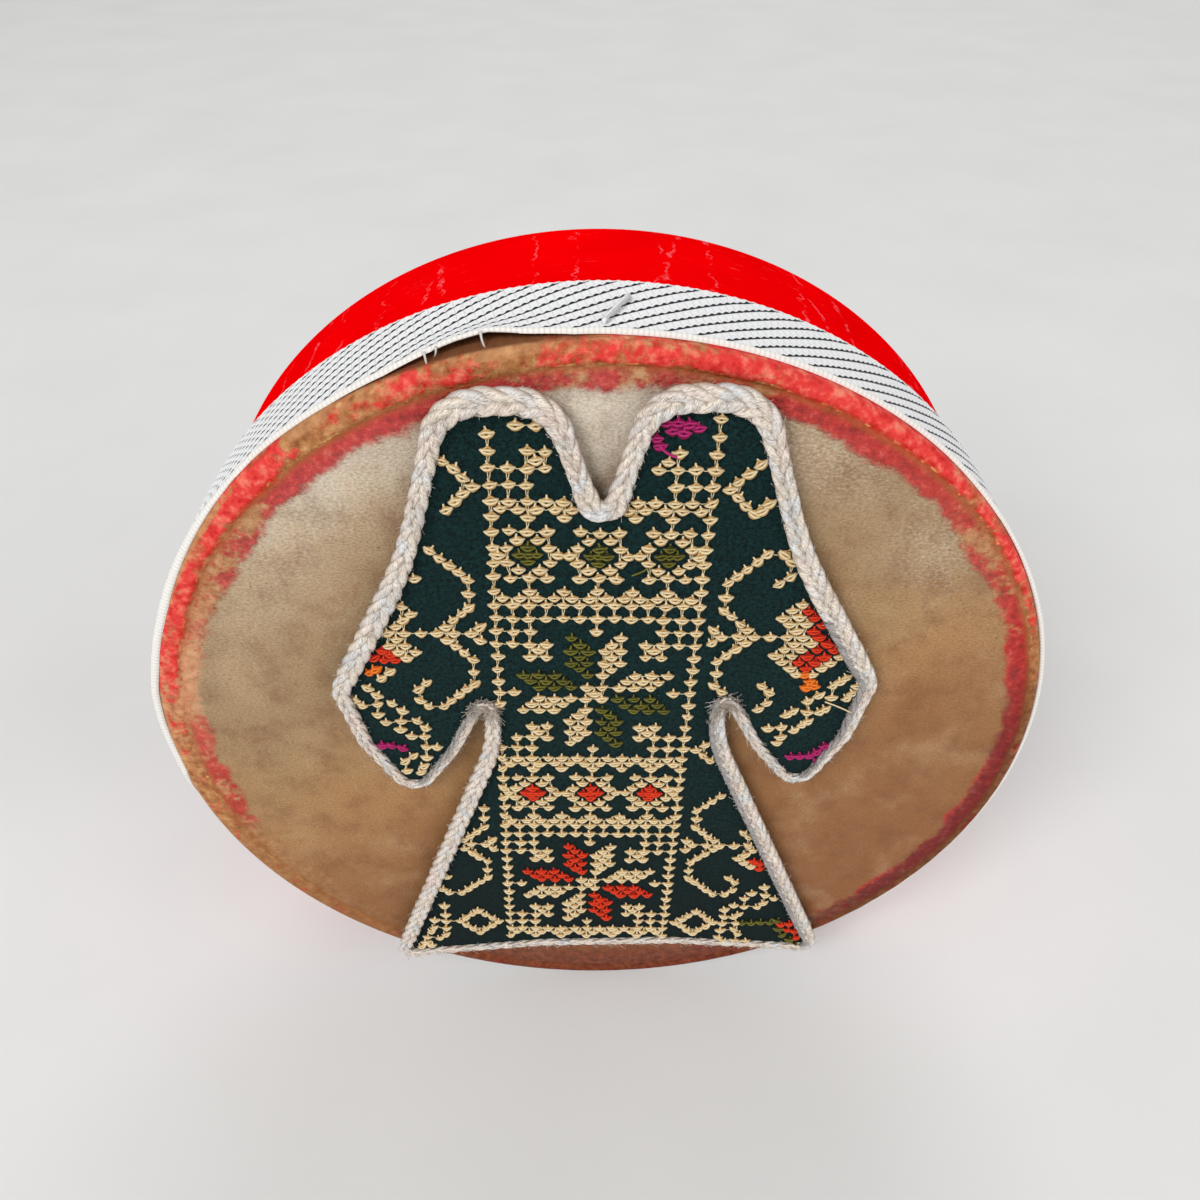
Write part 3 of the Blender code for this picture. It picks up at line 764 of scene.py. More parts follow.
wall_rear = HOOP_REAR - REAR_ROUND
outside = [(HOOP_OUTER, depth) for depth in np.linspace(wall_front, wall_rear, 14)[1:-1]]
inside = [(HOOP_INNER, depth) for depth in np.linspace(wall_rear, HOOP_FRONT + HOOP_CHAMFER, 12)[1:]]
hoop_section = [(HOOP_INNER + HOOP_CHAMFER, HOOP_FRONT)]
hoop_section += rounded + outside + rear_outer + rear_inner + inside


def hoop_slot(radius, depth):
    return 1 if radius < HOOP_INNER + 0.7 and depth < HOOP_REAR - 0.4 else 0


hoop_shape = Shape()
turned(hoop_shape, hoop_section, stations, hoop_slot)
hoop_points = hoop_shape.points[0]
reach = np.hypot(hoop_points[:, 0], hoop_points[:, 2])
heading = np.degrees(np.arctan2(hoop_points[:, 2], hoop_points[:, 0]))
for seam, lowest, highest, cut in ((outer_seam, 96.5, 99.0, -SEAM_CUT), (inner_seam, 90.0, 91.5, SEAM_CUT)):
    off = np.abs((heading - seam + 180) % 360 - 180)
    groove = (off < SEAM_HALF) & (reach > lowest) & (reach < highest)
    for axis in (0, 2):
        hoop_points[groove, axis] *= (reach[groove] + cut) / reach[groove]
hoop_shape.build("hoop_shell", [lacquer(), bare_wood()], ["hoop"])

# Skin: a shallow dip inside the hoop, a crease on its edge, a tight turn and a collar down the outside
skin_front = [(radius, 0.6) for radius in np.linspace(1.0, 86.5, 40)]
skin_front += [(88.2, 0.48), (89.4, 0.3)]
skin_front += [(radius, 0.2 - 0.05 * (radius - 90.0)) for radius in np.arange(90.0, 97.3, 0.35)]
skin_front += [(97.8, 0.0), (98.3, 0.38), (98.6, 0.9), (98.75, 1.5), (98.75, 2.3), (COLLAR, 3.2)]
skin_front += [(COLLAR, depth) for depth in np.linspace(4.4, COLLAR_REAR, 10)]
skin_back = [(COLLAR - SKIN_THICKNESS, COLLAR_REAR), (COLLAR - SKIN_THICKNESS, 4.6), (97.7, 3.4), (97.2, 2.4)]
skin_back += [(96.2, 1.6), (95.2, 1.1), (94.0, 1.05), (90.6, 0.95), (88.2, 1.3), (86.5, 1.4)]
skin_back += [(radius, 1.4) for radius in np.linspace(80.0, 1.0, 20)]
skin_angles = np.radians(np.arange(0, 360, 0.8))
skin_section = skin_front + skin_back
skin_shape = Shape()
turned(skin_shape, skin_section, skin_angles, closed=False)
first_row = list(range(len(skin_angles)))
last_row = [(len(skin_section) - 1) * len(skin_angles) + i for i in first_row]
skin_shape.faces += [first_row, last_row]
skin_shape.slots += [0, 0]
skin_points = skin_shape.points[0]
skin_reach = np.hypot(skin_points[:, 0], skin_points[:, 2])
skin_turn = np.arctan2(skin_points[:, 2], skin_points[:, 0])
hide_reach = np.hypot(skin_points[:, 0] - HIDE_SHIFT[0], skin_points[:, 2] - HIDE_SHIFT[1])
is_front = np.repeat(np.arange(len(skin_section)) < len(skin_front), len(skin_angles))
crease_depth = 0.22 + 0.10 * np.sin(7 * skin_turn + 2 * np.sin(3 * skin_turn))
skin_points[:, 1] += crease_depth * bell(hide_reach - CREASE, 0.6) * is_front
skin_points[:, 1] -= 0.12 * bell(hide_reach - CREASE - 1.6, 0.8) * is_front
puckers = 0.5 * np.sin(61 * skin_turn + 2 * np.sin(5 * skin_turn))
puckers += 0.5 * np.sin(97 * skin_turn + 3 * np.sin(3 * skin_turn))
skin_points[:, 1] += 0.08 * puckers * bell(hide_reach - CREASE, 2.4) * is_front
swell = np.sin(skin_points[:, 0] / 17 + 1.3) * np.sin(skin_points[:, 2] / 21 + 0.4)
skin_points[:, 1] += 0.09 * swell * (skin_reach < 88)
skin_shape.build("goatskin_head", [goatskin()], ["skin_head"])


def at_angle(table, degrees):
    """What a table of (angle, value) says at an angle round the drum."""
    return np.interp(degrees, *zip(*table))


def fade(share, width):
    """1 at the tape's front edge, falling to 0 at a share of its width."""
    return np.clip(1 - share / width, 0, 1)


def rising(value, start, run):
    """0 up to the start, rising to 1 over the run."""
    return np.clip((value - start) / run, 0, 1)


# Tape: twill webbing whose diagonal lines sink between rows of small knots
tape_start = TAPE_BUTT_ANGLE + 360.1
tape_end = TAPE_BUTT_ANGLE + 0.1
tape_angle = np.linspace(tape_start, tape_end, TAPE_STEPS)
tape_width = TAPE_REAR - TAPE_FRONT


def tape_grid(rows):
    """Angle, share of the width, run, depth, base radius and turn of the face on a grid over the tape."""
    angle, share = np.meshgrid(tape_angle, np.linspace(0, 1, rows))
    heading = angle % 360
    run = np.radians(tape_start - angle) * TAPE_RADIUS
    lift = at_angle(LIFTED, heading)
    scallop = SCALLOP_HEIGHT * np.cos(2 * math.pi * run / SCALLOP_PITCH) * rising(share, 0.93, 0.07)
    pull = (LIFT_BACK * lift + at_angle(SET_BACK, heading)) * fade(share, LIFT_FADES[0])
    level = share * tape_width - at_angle(DRAWN_OVER, heading) * fade(share, 0.25)
    over = np.maximum(-level, 0)
    depth = TAPE_FRONT + np.maximum(level, 0) - np.interp(over, CORNER_RUN, CORNER_RISE) + pull + scallop
    draw = rising(depth, 21.4, 2.4)
    draw = draw * draw * (3 - 2 * draw)
    base = TAPE_RADIUS + (TAPE_TAIL_RADIUS - TAPE_RADIUS) * draw
    base = base + LIFT_OUT * lift * fade(share, LIFT_FADES[1]) ** 1.5
    base = base + at_angle(STANDS_OFF, heading) * fade(share, 0.4)
    base = base - np.interp(over, CORNER_RUN, CORNER_INWARD)
    return angle, share, run, depth, base, np.interp(over, CORNER_RUN, CORNER_TURN)


def tape_face(grid, proud):
    """Points that stand proud of a grid over the tape, and their places on the flat tape."""
    angle, share, run, depth, base, turn = grid
    points = polar(np.radians(angle), base + proud * np.cos(turn), depth - proud * np.sin(turn))
    lies = np.stack([run, share * tape_width, 0 * run], axis=-1)
    return points.reshape(-1, 3), lies.reshape(-1, 3)


outer_grid = tape_grid(TAPE_ROWS)
_, share_grid, run_grid, *_ = outer_grid
across_grid = share_grid * tape_width
row_grid = (run_grid - across_grid * TWILL_LEAN) / TWILL_PERIOD
rows_up = np.abs(np.sin(2 * math.pi * row_grid + math.pi)) ** 0.6
pills = np.abs(np.cos(math.pi * ((run_grid + KNOT_SHIFT * across_grid) / KNOT_ALONG + 0.5))) ** 0.5
twill = 0.16 * rows_up * (0.6 + 0.4 * pills) - 0.14 * bell(row_grid % 1 - 0.5, 0.09)
ribs = 0.24 + 0.08 * np.abs(np.cos(math.pi * run_grid / RIB_PITCH))
body_part = rising(across_grid, 1.0, 0.6) * np.clip((23.2 - across_grid) / 0.6, 0, 1)
edge_curl = 0.4 * fade(share_grid, 0.025) + 0.3 * rising(share_grid, 0.97, 0.03)
proud = body_part * twill + (1 - body_part) * ribs - edge_curl
outer_points, outer_lies = tape_face(outer_grid, proud)
inner_points, inner_lies = tape_face(tape_grid(TAPE_INNER_ROWS), TAPE_ABOVE_BASE - TAPE_THICKNESS)
offset = TAPE_ROWS * TAPE_STEPS
tape_faces = grid_faces(TAPE_ROWS, TAPE_STEPS)
tape_faces += [tuple(i + offset for i in reversed(face)) for face in grid_faces(TAPE_INNER_ROWS, TAPE_STEPS)]
last = TAPE_ROWS - 1
inner_last = offset + (TAPE_INNER_ROWS - 1) * TAPE_STEPS
for i in range(TAPE_STEPS - 1):
    tape_faces.append((i, i + offset, i + 1 + offset, i + 1))
    here = last * TAPE_STEPS + i
    tape_faces.append((here + 1, inner_last + i + 1, inner_last + i, here))
for column in (0, TAPE_STEPS - 1):
    outer_end = [row * TAPE_STEPS + column for row in range(TAPE_ROWS)]
    inner_end = [offset + row * TAPE_STEPS + column for row in range(TAPE_INNER_ROWS - 1, -1, -1)]
    tape_faces.append(tuple(outer_end + inner_end))
tape_shape = Shape()
tape_points = np.concatenate([outer_points, inner_points])
tape_shape.add(tape_points, tape_faces, 0, np.concatenate([outer_lies, inner_lies]))
tape = tape_shape.build("webbing_tape", [webbing()], ["edge_tape"], sharp=80.0)

# Warp ends that hang from the tape where it has come away
ravel = Shape()
for degrees, drop, lean in ((101.2, 3.6, 0.5), (107.2, 3.2, -0.3), (105.9, 1.6, -0.8)):
    outward, along = spoke(degrees)
    lift = at_angle(LIFTED, degrees)
    end = outward * (TAPE_RADIUS + LIFT_OUT * lift) + REARWARD * (TAPE_FRONT + LIFT_BACK * lift)
    path = []
    for share in np.linspace(0, 1, 7):
        forward = REARWARD * (-1.1 * math.sin(2.6 * share) * drop / 3)
        path.append(end - outward * drop * share - along * lean * share**2 + forward)
    tube(ravel, path, np.linspace(0.26, 0.12, 7), 6)
loose_white = yarn("loose_white_thread", (240, 238, 234), (190, 184, 176))
ravel_piece = ravel.build("tape_threads", [loose_white], sharp=ALL_SMOOTH)

# Staples: flat-lying crowns whose legs go through the tape into the wood
staple_steel = steel("staple_steel_worn", (0.88, 0.88, 0.89, 1.0), 0.34, 0.4)
slant = math.radians(STAPLE_SLANT)
for number, degrees in enumerate(STAPLE_ANGLES, 1):
    outward, along = spoke(degrees)
    crown = REARWARD * math.sin(slant) - along * math.cos(slant)
    seat = outward * STAPLE_RADIUS + REARWARD * STAPLE_DEPTH
    half = STAPLE_SPAN / 2
    leg = [(half, drop) for drop in (STAPLE_LEG, 3.0, STAPLE_CORNER)]
    leg += [(half - STAPLE_CORNER * t, STAPLE_CORNER * (1 - t) ** 2) for t in (0.35, 0.7, 1.0)]
    leg += [(2.5, 0.0)]
    bent = [(-reach, drop) for reach, drop in leg] + [(0.0, 0.0)] + leg[::-1]
    path = [seat + crown * reach - outward * drop for reach, drop in bent]
    staple = Shape()
    tube(staple, path, STAPLE_WIRE / 2, 10)
    staple.build(f"staple_{number:02d}", [staple_steel], [f"tape_staple_{number:02d}"])

# Rings that hang inside the hoop, and the bent wire eyes that carry them
ring_steel = steel("ring_steel_worn", (0.66, 0.65, 0.62, 1.0), 0.25)
eye_steel = steel("eye_steel_worn", (0.58, 0.57, 0.55, 1.0), 0.3)
circle = np.linspace(0, 2 * math.pi, 48, endpoint=False)
for number in range(1, RING_COUNT + 1):
    heading = RING_FIRST_ANGLE + 360 * (number - 1) / RING_COUNT
    outward, along = spoke(heading)
    pivot = outward * PIVOT_RADIUS + REARWARD * PIVOT_DEPTH
    loop_end = math.acos((EYE_RADIUS - EYE_WIRE - EYE_GAP) / EYE_RADIUS) - 2 * math.pi
    wire = [pivot + along * EYE_RADIUS + outward * rise for rise in (EYE_SHANK, EYE_STANDOFF, 1.0)]
    for step in range(EYE_STEPS + 1):
        turn = loop_end * step / EYE_STEPS
        wire.append(pivot + along * EYE_RADIUS * math.cos(turn) + outward * EYE_RADIUS * math.sin(turn))
    eye = Shape()
    tube(eye, wire, EYE_WIRE / 2, 10, up=REARWARD)
    eye.build(f"eye_{number:02d}", [eye_steel], [f"ring_eye_{number:02d}"])
    hang = (90 - heading + 180) % 360 - 180
    hang = math.radians(max(-LEAN_ANGLE, min(LEAN_ANGLE, hang)))
    inward = -outward * math.cos(hang) - along * math.sin(hang)
    middle = pivot + inward * RING_RADIUS
    loop = middle + RING_RADIUS * (np.cos(circle)[:, None] * inward + np.sin(circle)[:, None] * REARWARD)
    ring = Shape()
    tube(ring, loop, RING_WIRE / 2, 14, closed=True, up=np.cross(inward, REARWARD))
    ring.build(
        f"ring_{number:02d}_wire",
        [ring_steel],
        [f"jingle_ring_{number:02d}"],
        body=f"ring_{number:02d}",
    )


# Dress outline: the middle line of its edging cord, clockwise from the neck point, as (x, height, bend)
HALF_OUTLINE = (
    (9.0, 89.7, 9.0),
    (28.4, 89.7, 10.0),
    (38.6, 55.0, 90.0),
    (57.3, 20.0, 5.0),
    (54.2, 3.5, 5.0),
    (45.3, -14.9, 4.0),
    (34.8, 0.3, 25.0),
    (25.0, 21.0, 1.8),
    (24.9, 3.0, 40.0),
    (57.4, -82.6, 2.8),
    (18.0, -78.2, 40.0),
)
NECK_POINT = (0.0, 59.0, 2.8)


def rounded_line(points):
    """A closed line through (x, height, bend) corners with each corner rounded."""
    line = []
    for i, (x, z, radius) in enumerate(points):
        corner = Vector((x, z))
        before = Vector(points[i - 1][:2]) - corner
        after = Vector(points[(i + 1) % len(points)][:2]) - corner
        opening = before.angle(after)
        reach = min(radius / math.tan(opening / 2), before.length / 2, after.length / 2)
        radius = reach * math.tan(opening / 2)
        bisector = (before.normalized() + after.normalized()).normalized()
        centre = corner + bisector * (radius / math.sin(opening / 2))
        start = corner + before.normalized() * reach - centre
        sweep = start.angle_signed(corner + after.normalized() * reach - centre)
        steps = max(2, math.ceil(abs(math.degrees(sweep)) / 6))
        for k in range(steps + 1):
            line.append(centre + Matrix.Rotation(-sweep * k / steps, 2) @ start)
    return np.array(line)


def even_steps(line, step):
    """The same closed line with points at even steps along it."""
    closed = np.vstack([line, line[:1]])
    run = np.concatenate([[0.0], np.cumsum(np.linalg.norm(np.diff(closed, axis=0), axis=1))])
    count = round(run[-1] / step)
    at = np.arange(count) * run[-1] / count
    return np.stack([np.interp(at, run, closed[:, k]) for k in (0, 1)], axis=1), run[-1]


def line_sides(line):
    """Unit direction and inward side at each point of a clockwise closed line."""
    ahead = np.roll(line, -1, axis=0) - np.roll(line, 1, axis=0)
    ahead /= np.linalg.norm(ahead, axis=1)[:, None]
    return ahead, np.stack([ahead[:, 1], -ahead[:, 0]], axis=1)


def within(points, line):
    """True for each (x, z) point that lies inside a closed line."""
    x, z = points[:, 0][:, None], points[:, 1][:, None]
    x0, z0 = line[:, 0], line[:, 1]
    x1, z1 = np.roll(x0, -1), np.roll(z0, -1)
    rising = (z0 > z) != (z1 > z)
    crossing = x0 + (z - z0) * (x1 - x0) / np.where(z1 == z0, 1e-9, z1 - z0)
    return (rising & (x < crossing)).sum(axis=1) % 2 == 1


def clearance(points, line):
    """Distance of each point from the nearest point of a line, and that point's number."""
    gap = np.sqrt(((points[:, None] - line[None]) ** 2).sum(axis=2))
    return gap.min(axis=1), gap.argmin(axis=1)


def braid_breadth(side):
    """Share of the braid's breadth that shows: it lies flat on upper edges and turns under on lower ones."""
    breadth = np.interp(-side[:, 1], BRAID_FACING, BRAID_BREADTH)
    spread = len(side) // 110
    return sum(np.roll(breadth, k) for k in range(-spread, spread + 1)) / (2 * spread + 1)


mirrored = tuple((-x, z, bend) for x, z, bend in reversed(HALF_OUTLINE))
cord_line = rounded_line((NECK_POINT,) + HALF_OUTLINE + mirrored) + np.array((DRESS_SHIFT, 0.0))


def cloth_level(x, z):
    """Depth of the cloth's face: nearly flat, with the slight waves of cloth held only at its edge."""
    wave = np.sin(x / 6.1 + 0.7) * np.sin(z / 8.3) + 0.6 * np.sin((x + z) / 4.3 + 1.1)
    return CLOTH_FRONT - 0.10 - 0.07 * wave


def cut_sheet(shape, inset, step, front, back):
    """A thin sheet cut inside the dress's outline by a share of the braid; front gives its face's depth."""
    edge, _ = even_steps(cord_line, 1.4)
    side = line_sides(edge)[1]
    edge = edge + side * (inset * BRAID_HALF * braid_breadth(side))[:, None]
    xs = np.arange(edge[:, 0].min(), edge[:, 0].max(), step)
    zs = np.arange(edge[:, 1].min(), edge[:, 1].max(), step)
    inner = np.stack(np.meshgrid(xs, zs), axis=-1).reshape(-1, 2)
    inner = inner[within(inner, edge)]
    inner = inner[clearance(inner, edge)[0] > 0.6 * step]
    flat = [Vector(point) for point in np.vstack([edge, inner])]
    places, _, faces, *_ = delaunay_2d_cdt(flat, [], [list(range(len(edge)))], 1, 1e-6)
    places = np.array([tuple(place) for place in places])
    count = len(places)
    face_depth = front(places[:, 0], places[:, 1])
    top = np.stack([places[:, 0], face_depth, places[:, 1]], axis=1)
    bottom = np.stack([places[:, 0], 0 * face_depth + back, places[:, 1]], axis=1)
    uses = {}
    for face in faces:
        for a, b in zip(face, face[1:] + face[:1]):
            uses[frozenset((a, b))] = None if frozenset((a, b)) in uses else (a, b)
    walls = [(a, b, b + count, a + count) for a, b in filter(None, uses.values())]
    below = [[i + count for i in reversed(face)] for face in faces]
    shape.add(np.vstack([top, bottom]), list(faces) + below + walls)
    area = 0.5 * abs(np.sum(edge[:, 0] * np.roll(edge[:, 1], -1) - edge[:, 1] * np.roll(edge[:, 0], -1)))
    return (edge.max(axis=0) - edge.min(axis=0)) * MM, area * MM * MM


lining_shape = Shape()
lining_size, lining_area = cut_sheet(lining_shape, 0.26, 4.0, lambda x, z: LINING_FRONT + 0 * x, LINING_BACK)
felt = dark_cloth("dark_felt", (14, 18, 20), (30, 40, 42), 1.1)
lining = lining_shape.build("dress_backing", [felt], ["dress_lining"])

cloth_shape = Shape()
cloth_size, cloth_area = cut_sheet(cloth_shape, 0.62, 2.2, cloth_level, CLOTH_BACK)
fabric = dark_cloth("green_black_cloth", (2, 14, 14), (14, 42, 42), 0.62)
cloth = cloth_shape.build("dress_fabric", [fabric], ["dress_cloth"])

# Edging: soft strands plaited, over two and under two, into one flat braid
plait_line, plait_length = even_steps(cord_line, 0.75)
ahead, side = line_sides(plait_line)
breadth = braid_breadth(side)
bulk = np.sqrt(breadth)
turns = round(plait_length / PLAIT_PERIOD)
sway = 2 * math.pi * turns * np.arange(len(plait_line)) / len(plait_line)
braid_middle = BRAID_BACK - (PLAIT_RISE + STRAND_HALF[1]) * bulk
strand_round = (np.arange(STRAND_SIDES) + 0.5) * 2 * math.pi / STRAND_SIDES
plait = Shape()
for strand in range(STRAND_COUNT):
    phase = sway + strand * 2 * math.pi / STRAND_COUNT
    across = PLAIT_SWAY * breadth * np.sin(phase)
    depth = braid_middle + PLAIT_RISE * bulk * np.sin(2 * phase)
    flat = plait_line + side * across[:, None]
    path = np.stack([flat[:, 0], depth, flat[:, 1]], axis=1)
    flatten = STRAND_HALF[1] * bulk / (STRAND_HALF[0] * breadth)
    half = STRAND_HALF[0] * breadth
    tube(plait, path, half, STRAND_SIDES, True, strand % 2, REARWARD, flatten, STRAND_PLIES)
    # Strand faces on the braid's inner side, where it faces left below 40 mm, take the grey strand: soil from
    # the dark cloth and painted shade
    inward = across[:, None] / breadth[:, None] + STRAND_HALF[0] * np.cos(strand_round)
    soil_and_shade = (inward > SOIL_AND_SHADE_FROM) & (side[:, :1] < SOIL_AND_SHADE_FACING) & (plait_line[:, 1:] < SOIL_AND_SHADE_BELOW)
    plait.slots[-soil_and_shade.size :] = np.where(soil_and_shade.ravel(), 2, strand % 2).tolist()
STRANDS = [
    yarn("cream_strand", (250, 240, 226), (166, 148, 130), cast=((238, 241, 242), (250, 234, 225))),
    yarn("pale_strand", (246, 240, 233), (160, 148, 138), cast=((236, 240, 243), (248, 232, 224))),
    yarn("soil_and_shade_strand", (186, 180, 177), (90, 87, 87)),
]
plait.build("plaited_edging", STRANDS, ["dress_edging"], sharp=ALL_SMOOTH)

# Fuzz: loose fibres all along the braid, thickest at the armpits, dark ones on its inner side that partly
# stand in for painted shade there
TUFTS = ((DRESS_SHIFT + 26.4, 14.7), (DRESS_SHIFT - 26.4, 14.7))
TUFT_REACH = 4
DARK_TUFT_REACH = 6
fuzz = Shape()


def fibre(spot, turns, longest, slot):
    """One fibre that leaves the braid at a step along it.

    turns is the range of its turn round the braid, from 0 degrees inwards to 180 outwards.
    """
    turn = math.radians(random.uniform(*turns))
    length = random.uniform(0.6, longest)
    out = np.array((side[spot][0] * math.cos(turn), -math.sin(turn), side[spot][1] * math.cos(turn)))
    along = np.array((ahead[spot][0], 0.0, ahead[spot][1]))
    girth = np.array((breadth[spot] * 1.9, bulk[spot] * 1.3, breadth[spot] * 1.9))
    start = np.array((plait_line[spot][0], braid_middle[spot], plait_line[spot][1])) + girth * out
    lean = random.uniform(-1.3, 1.3)
    bend = random.uniform(-0.7, 0.7)
    path = [start - 0.3 * out]
    for share in (0.35, 0.7, 1.0):
        stray = length * share**2 * bend * (along - 0.5 * out)
        path.append(start + length * share * (0.45 * out + lean * along) + stray)
    tube(fuzz, path, FIBRE_HALF, 3, slot=slot)


for spot in range(len(plait_line)):
    near = min(math.hypot(plait_line[spot][0] - x, plait_line[spot][1] - z) for x, z in TUFTS)
    pale_count, longest = (26, 2.8) if near < TUFT_REACH else (3, 1.8)
    for _ in range(pale_count):
        fibre(spot, (-10, 190), longest, 0)
    for _ in range(random.choice((0, 1, 2)) if near > DARK_TUFT_REACH else 8):
        fibre(spot, (-30, 40), 1.8, 1)
dark_fibre_and_shade = yarn("dark_fibre_and_shade", (46, 46, 48), (20, 22, 24))
fuzz.build("edging_fuzz", [STRANDS[0], dark_fibre_and_shade], sharp=ALL_SMOOTH)

# Embroidery chart: columns and rows of stitches, counted from the middle of the upper star
COLUMN_STEP = 3.46
ROW_STEP = 3.53
ROW_SPREAD = 0.003
ROW_TILT = 0.12
COLUMN_LEAN = 0.0377
LEAN_HEIGHT = 17.7
CHART_ORIGIN = (-1.0, 17.8)
STAR_ROWS = (20, 0, -20)
ACCENTS = {20: "magenta", 0: "olive", -20: "red"}
chart = {"cream": [], "olive": [], "red": [], "magenta": []}


def sew(colour, cells):
    """Put stitches on the chart at (column, row) places; the rows tilt and the columns lean a little."""
    for column, row in cells:
        z = CHART_ORIGIN[1] + ROW_STEP * row + ROW_SPREAD * row**2 - ROW_TILT * column
        x = CHART_ORIGIN[0] + COLUMN_LEAN * (z - LEAN_HEIGHT) + COLUMN_STEP * column
        chart[colour].append((x, z))


def star(row, accent):
    """Star of eight petals, with a corner piece between each two arms."""
    sew("cream", [(0, row)] + [(i, row + j) for i in (-0.5, 0.5) for j in (-0.5, 0.5)])
    for across in (1, -1):
        for up in (1, -1):
            petal = [(k / 2, k / 2 + 1 + m) for k in (1, 2, 3) for m in (0, 1, 2)]
            cells = [(across * a, row + up * b) for a, b in petal]
            cells += [(across * b, row + up * a) for a, b in petal]
            sew("cream" if across == up else accent, cells)
            corner = [(5, 5), (4, 5), (5, 4), (4, 4), (3, 4), (3.5, 3.5), (4, 3), (3, 3)]
            sew("cream", [(across * a, row + up * b) for a, b in corner])
    sew("cream", [(0, row + 5), (0, row - 5), (5, row), (-5, row)])


def bands(row, accent):
    """Dotted row, scallops up, three diamonds and scallops down, above a star."""
    whole = range(-6, 7)
    halves = [i + 0.5 for i in range(-6, 6)]
    peaks = range(-6, 7, 2)
    sew("cream", [(i, row + 6) for i in whole])
    for base, second, tip in ((7, 7.5, 8), (14, 13.5, 13)):
        sew("cream", [(i, row + base) for i in whole])
        sew("cream", [(i, row + second) for i in halves])
        sew("cream", [(i, row + tip) for i in peaks])
    ring = [(1.7, 0), (1.2, 0.5), (0.6, 1.0), (0, 1.5), (1.05, 1.6)]
    for middle in (-4, 0, 4):
        signs = {(across * a, up * b) for a, b in ring for across in (1, -1) for up in (1, -1)}
        sew("cream", [(middle + a, row + 10.5 + b) for a, b in sorted(signs)])
        core = [(0, 0), (0.48, 0), (-0.48, 0), (0, 0.48), (0, -0.48)]
        sew(accent, [(middle + a, row + 10.5 + b) for a, b in core])


def fill(colour, corners, across, row):
    """Stitches on the half grid that lie inside a closed outline of (column, row) corners."""
    grid = np.array([(9.5 + a / 2, b / 2) for a in range(16) for b in range(-12, 9) if (a + b) % 2 == 0])
    grid = grid[within(grid, np.array(corners))]
    sew(colour, [(across * a, row + b) for a, b in grid])


def vine(row, across):
    """Hooked stem and leaf beside the middle panel, on one side of it."""
    stem = [(9.5, 0), (9, 0.5), (8.5, 1), (8, 1.5), (7.5, 2), (7.5, 3), (7.5, 4), (8, 4.5), (8.5, 5)]
    stem += [(9, 5.5), (9.5, 6), (10.5, 6), (11, 5.5), (11, 4.5), (10.5, 4), (7, 0.5)]
    cells = {(a, up * b) for a, b in stem for up in (1, -1)} | {(10.5, 0), (8.5, 0), (7.5, 0)}
    sew("cream", [(across * a, row + b) for a, b in sorted(cells)])
    upper = [(12.32, 2.99), (10.41, 1.38), (11.08, 0.53), (11.06, -0.43), (10.46, -1.46), (13.29, -4.13)]
    upper += [(12.73, -3.07), (12.0, -2.17), (13.5, -0.21), (12.2, 1.44), (12.1, 2.19)]
    fill("cream", upper, across, row)
    zigzag = [(12.2, 2.3), (12.6, 2.5), (13.6, 0.84), (14.8, -0.86), (12.8, -2.97), (12.0, -2.15)]
    zigzag += [(13.5, -0.2), (12.2, 1.45)]
    fill("red", zigzag, across, row)
    fill("cream", [(14.9, -0.95), (15.6, -1.6), (13.85, -3.5), (13.2, -2.9)], across, row)


def small_diamond(row, across, sides):
    """Diamond, or the half of it towards the panel, between two vines."""
    ring = [(1.5, 0), (1, 0.5), (0.5, 1), (0, 1.5)]
    cells = {(way * a, up * b) for a, b in ring for way in sides for up in (1, -1)}
    sew("cream", [(across * (8.4 + a), row + b) for a, b in sorted(cells)])


for star_row in STAR_ROWS:
    star(star_row, ACCENTS[star_row])
    for across in (1, -1):
        vine(star_row + 4.75, across)
        small_diamond(star_row - 5.1, across, (-1,) if star_row == 20 else (-1, 1))
bands(0, "olive")
bands(-20, "red")
bands(-40, "red")
border_rows = [row for row in range(-28, 20) if row % 20 not in (6, 7, 8, 13, 14)]
sew("cream", [(column, row) for column in (-6, 6) for row in border_rows])

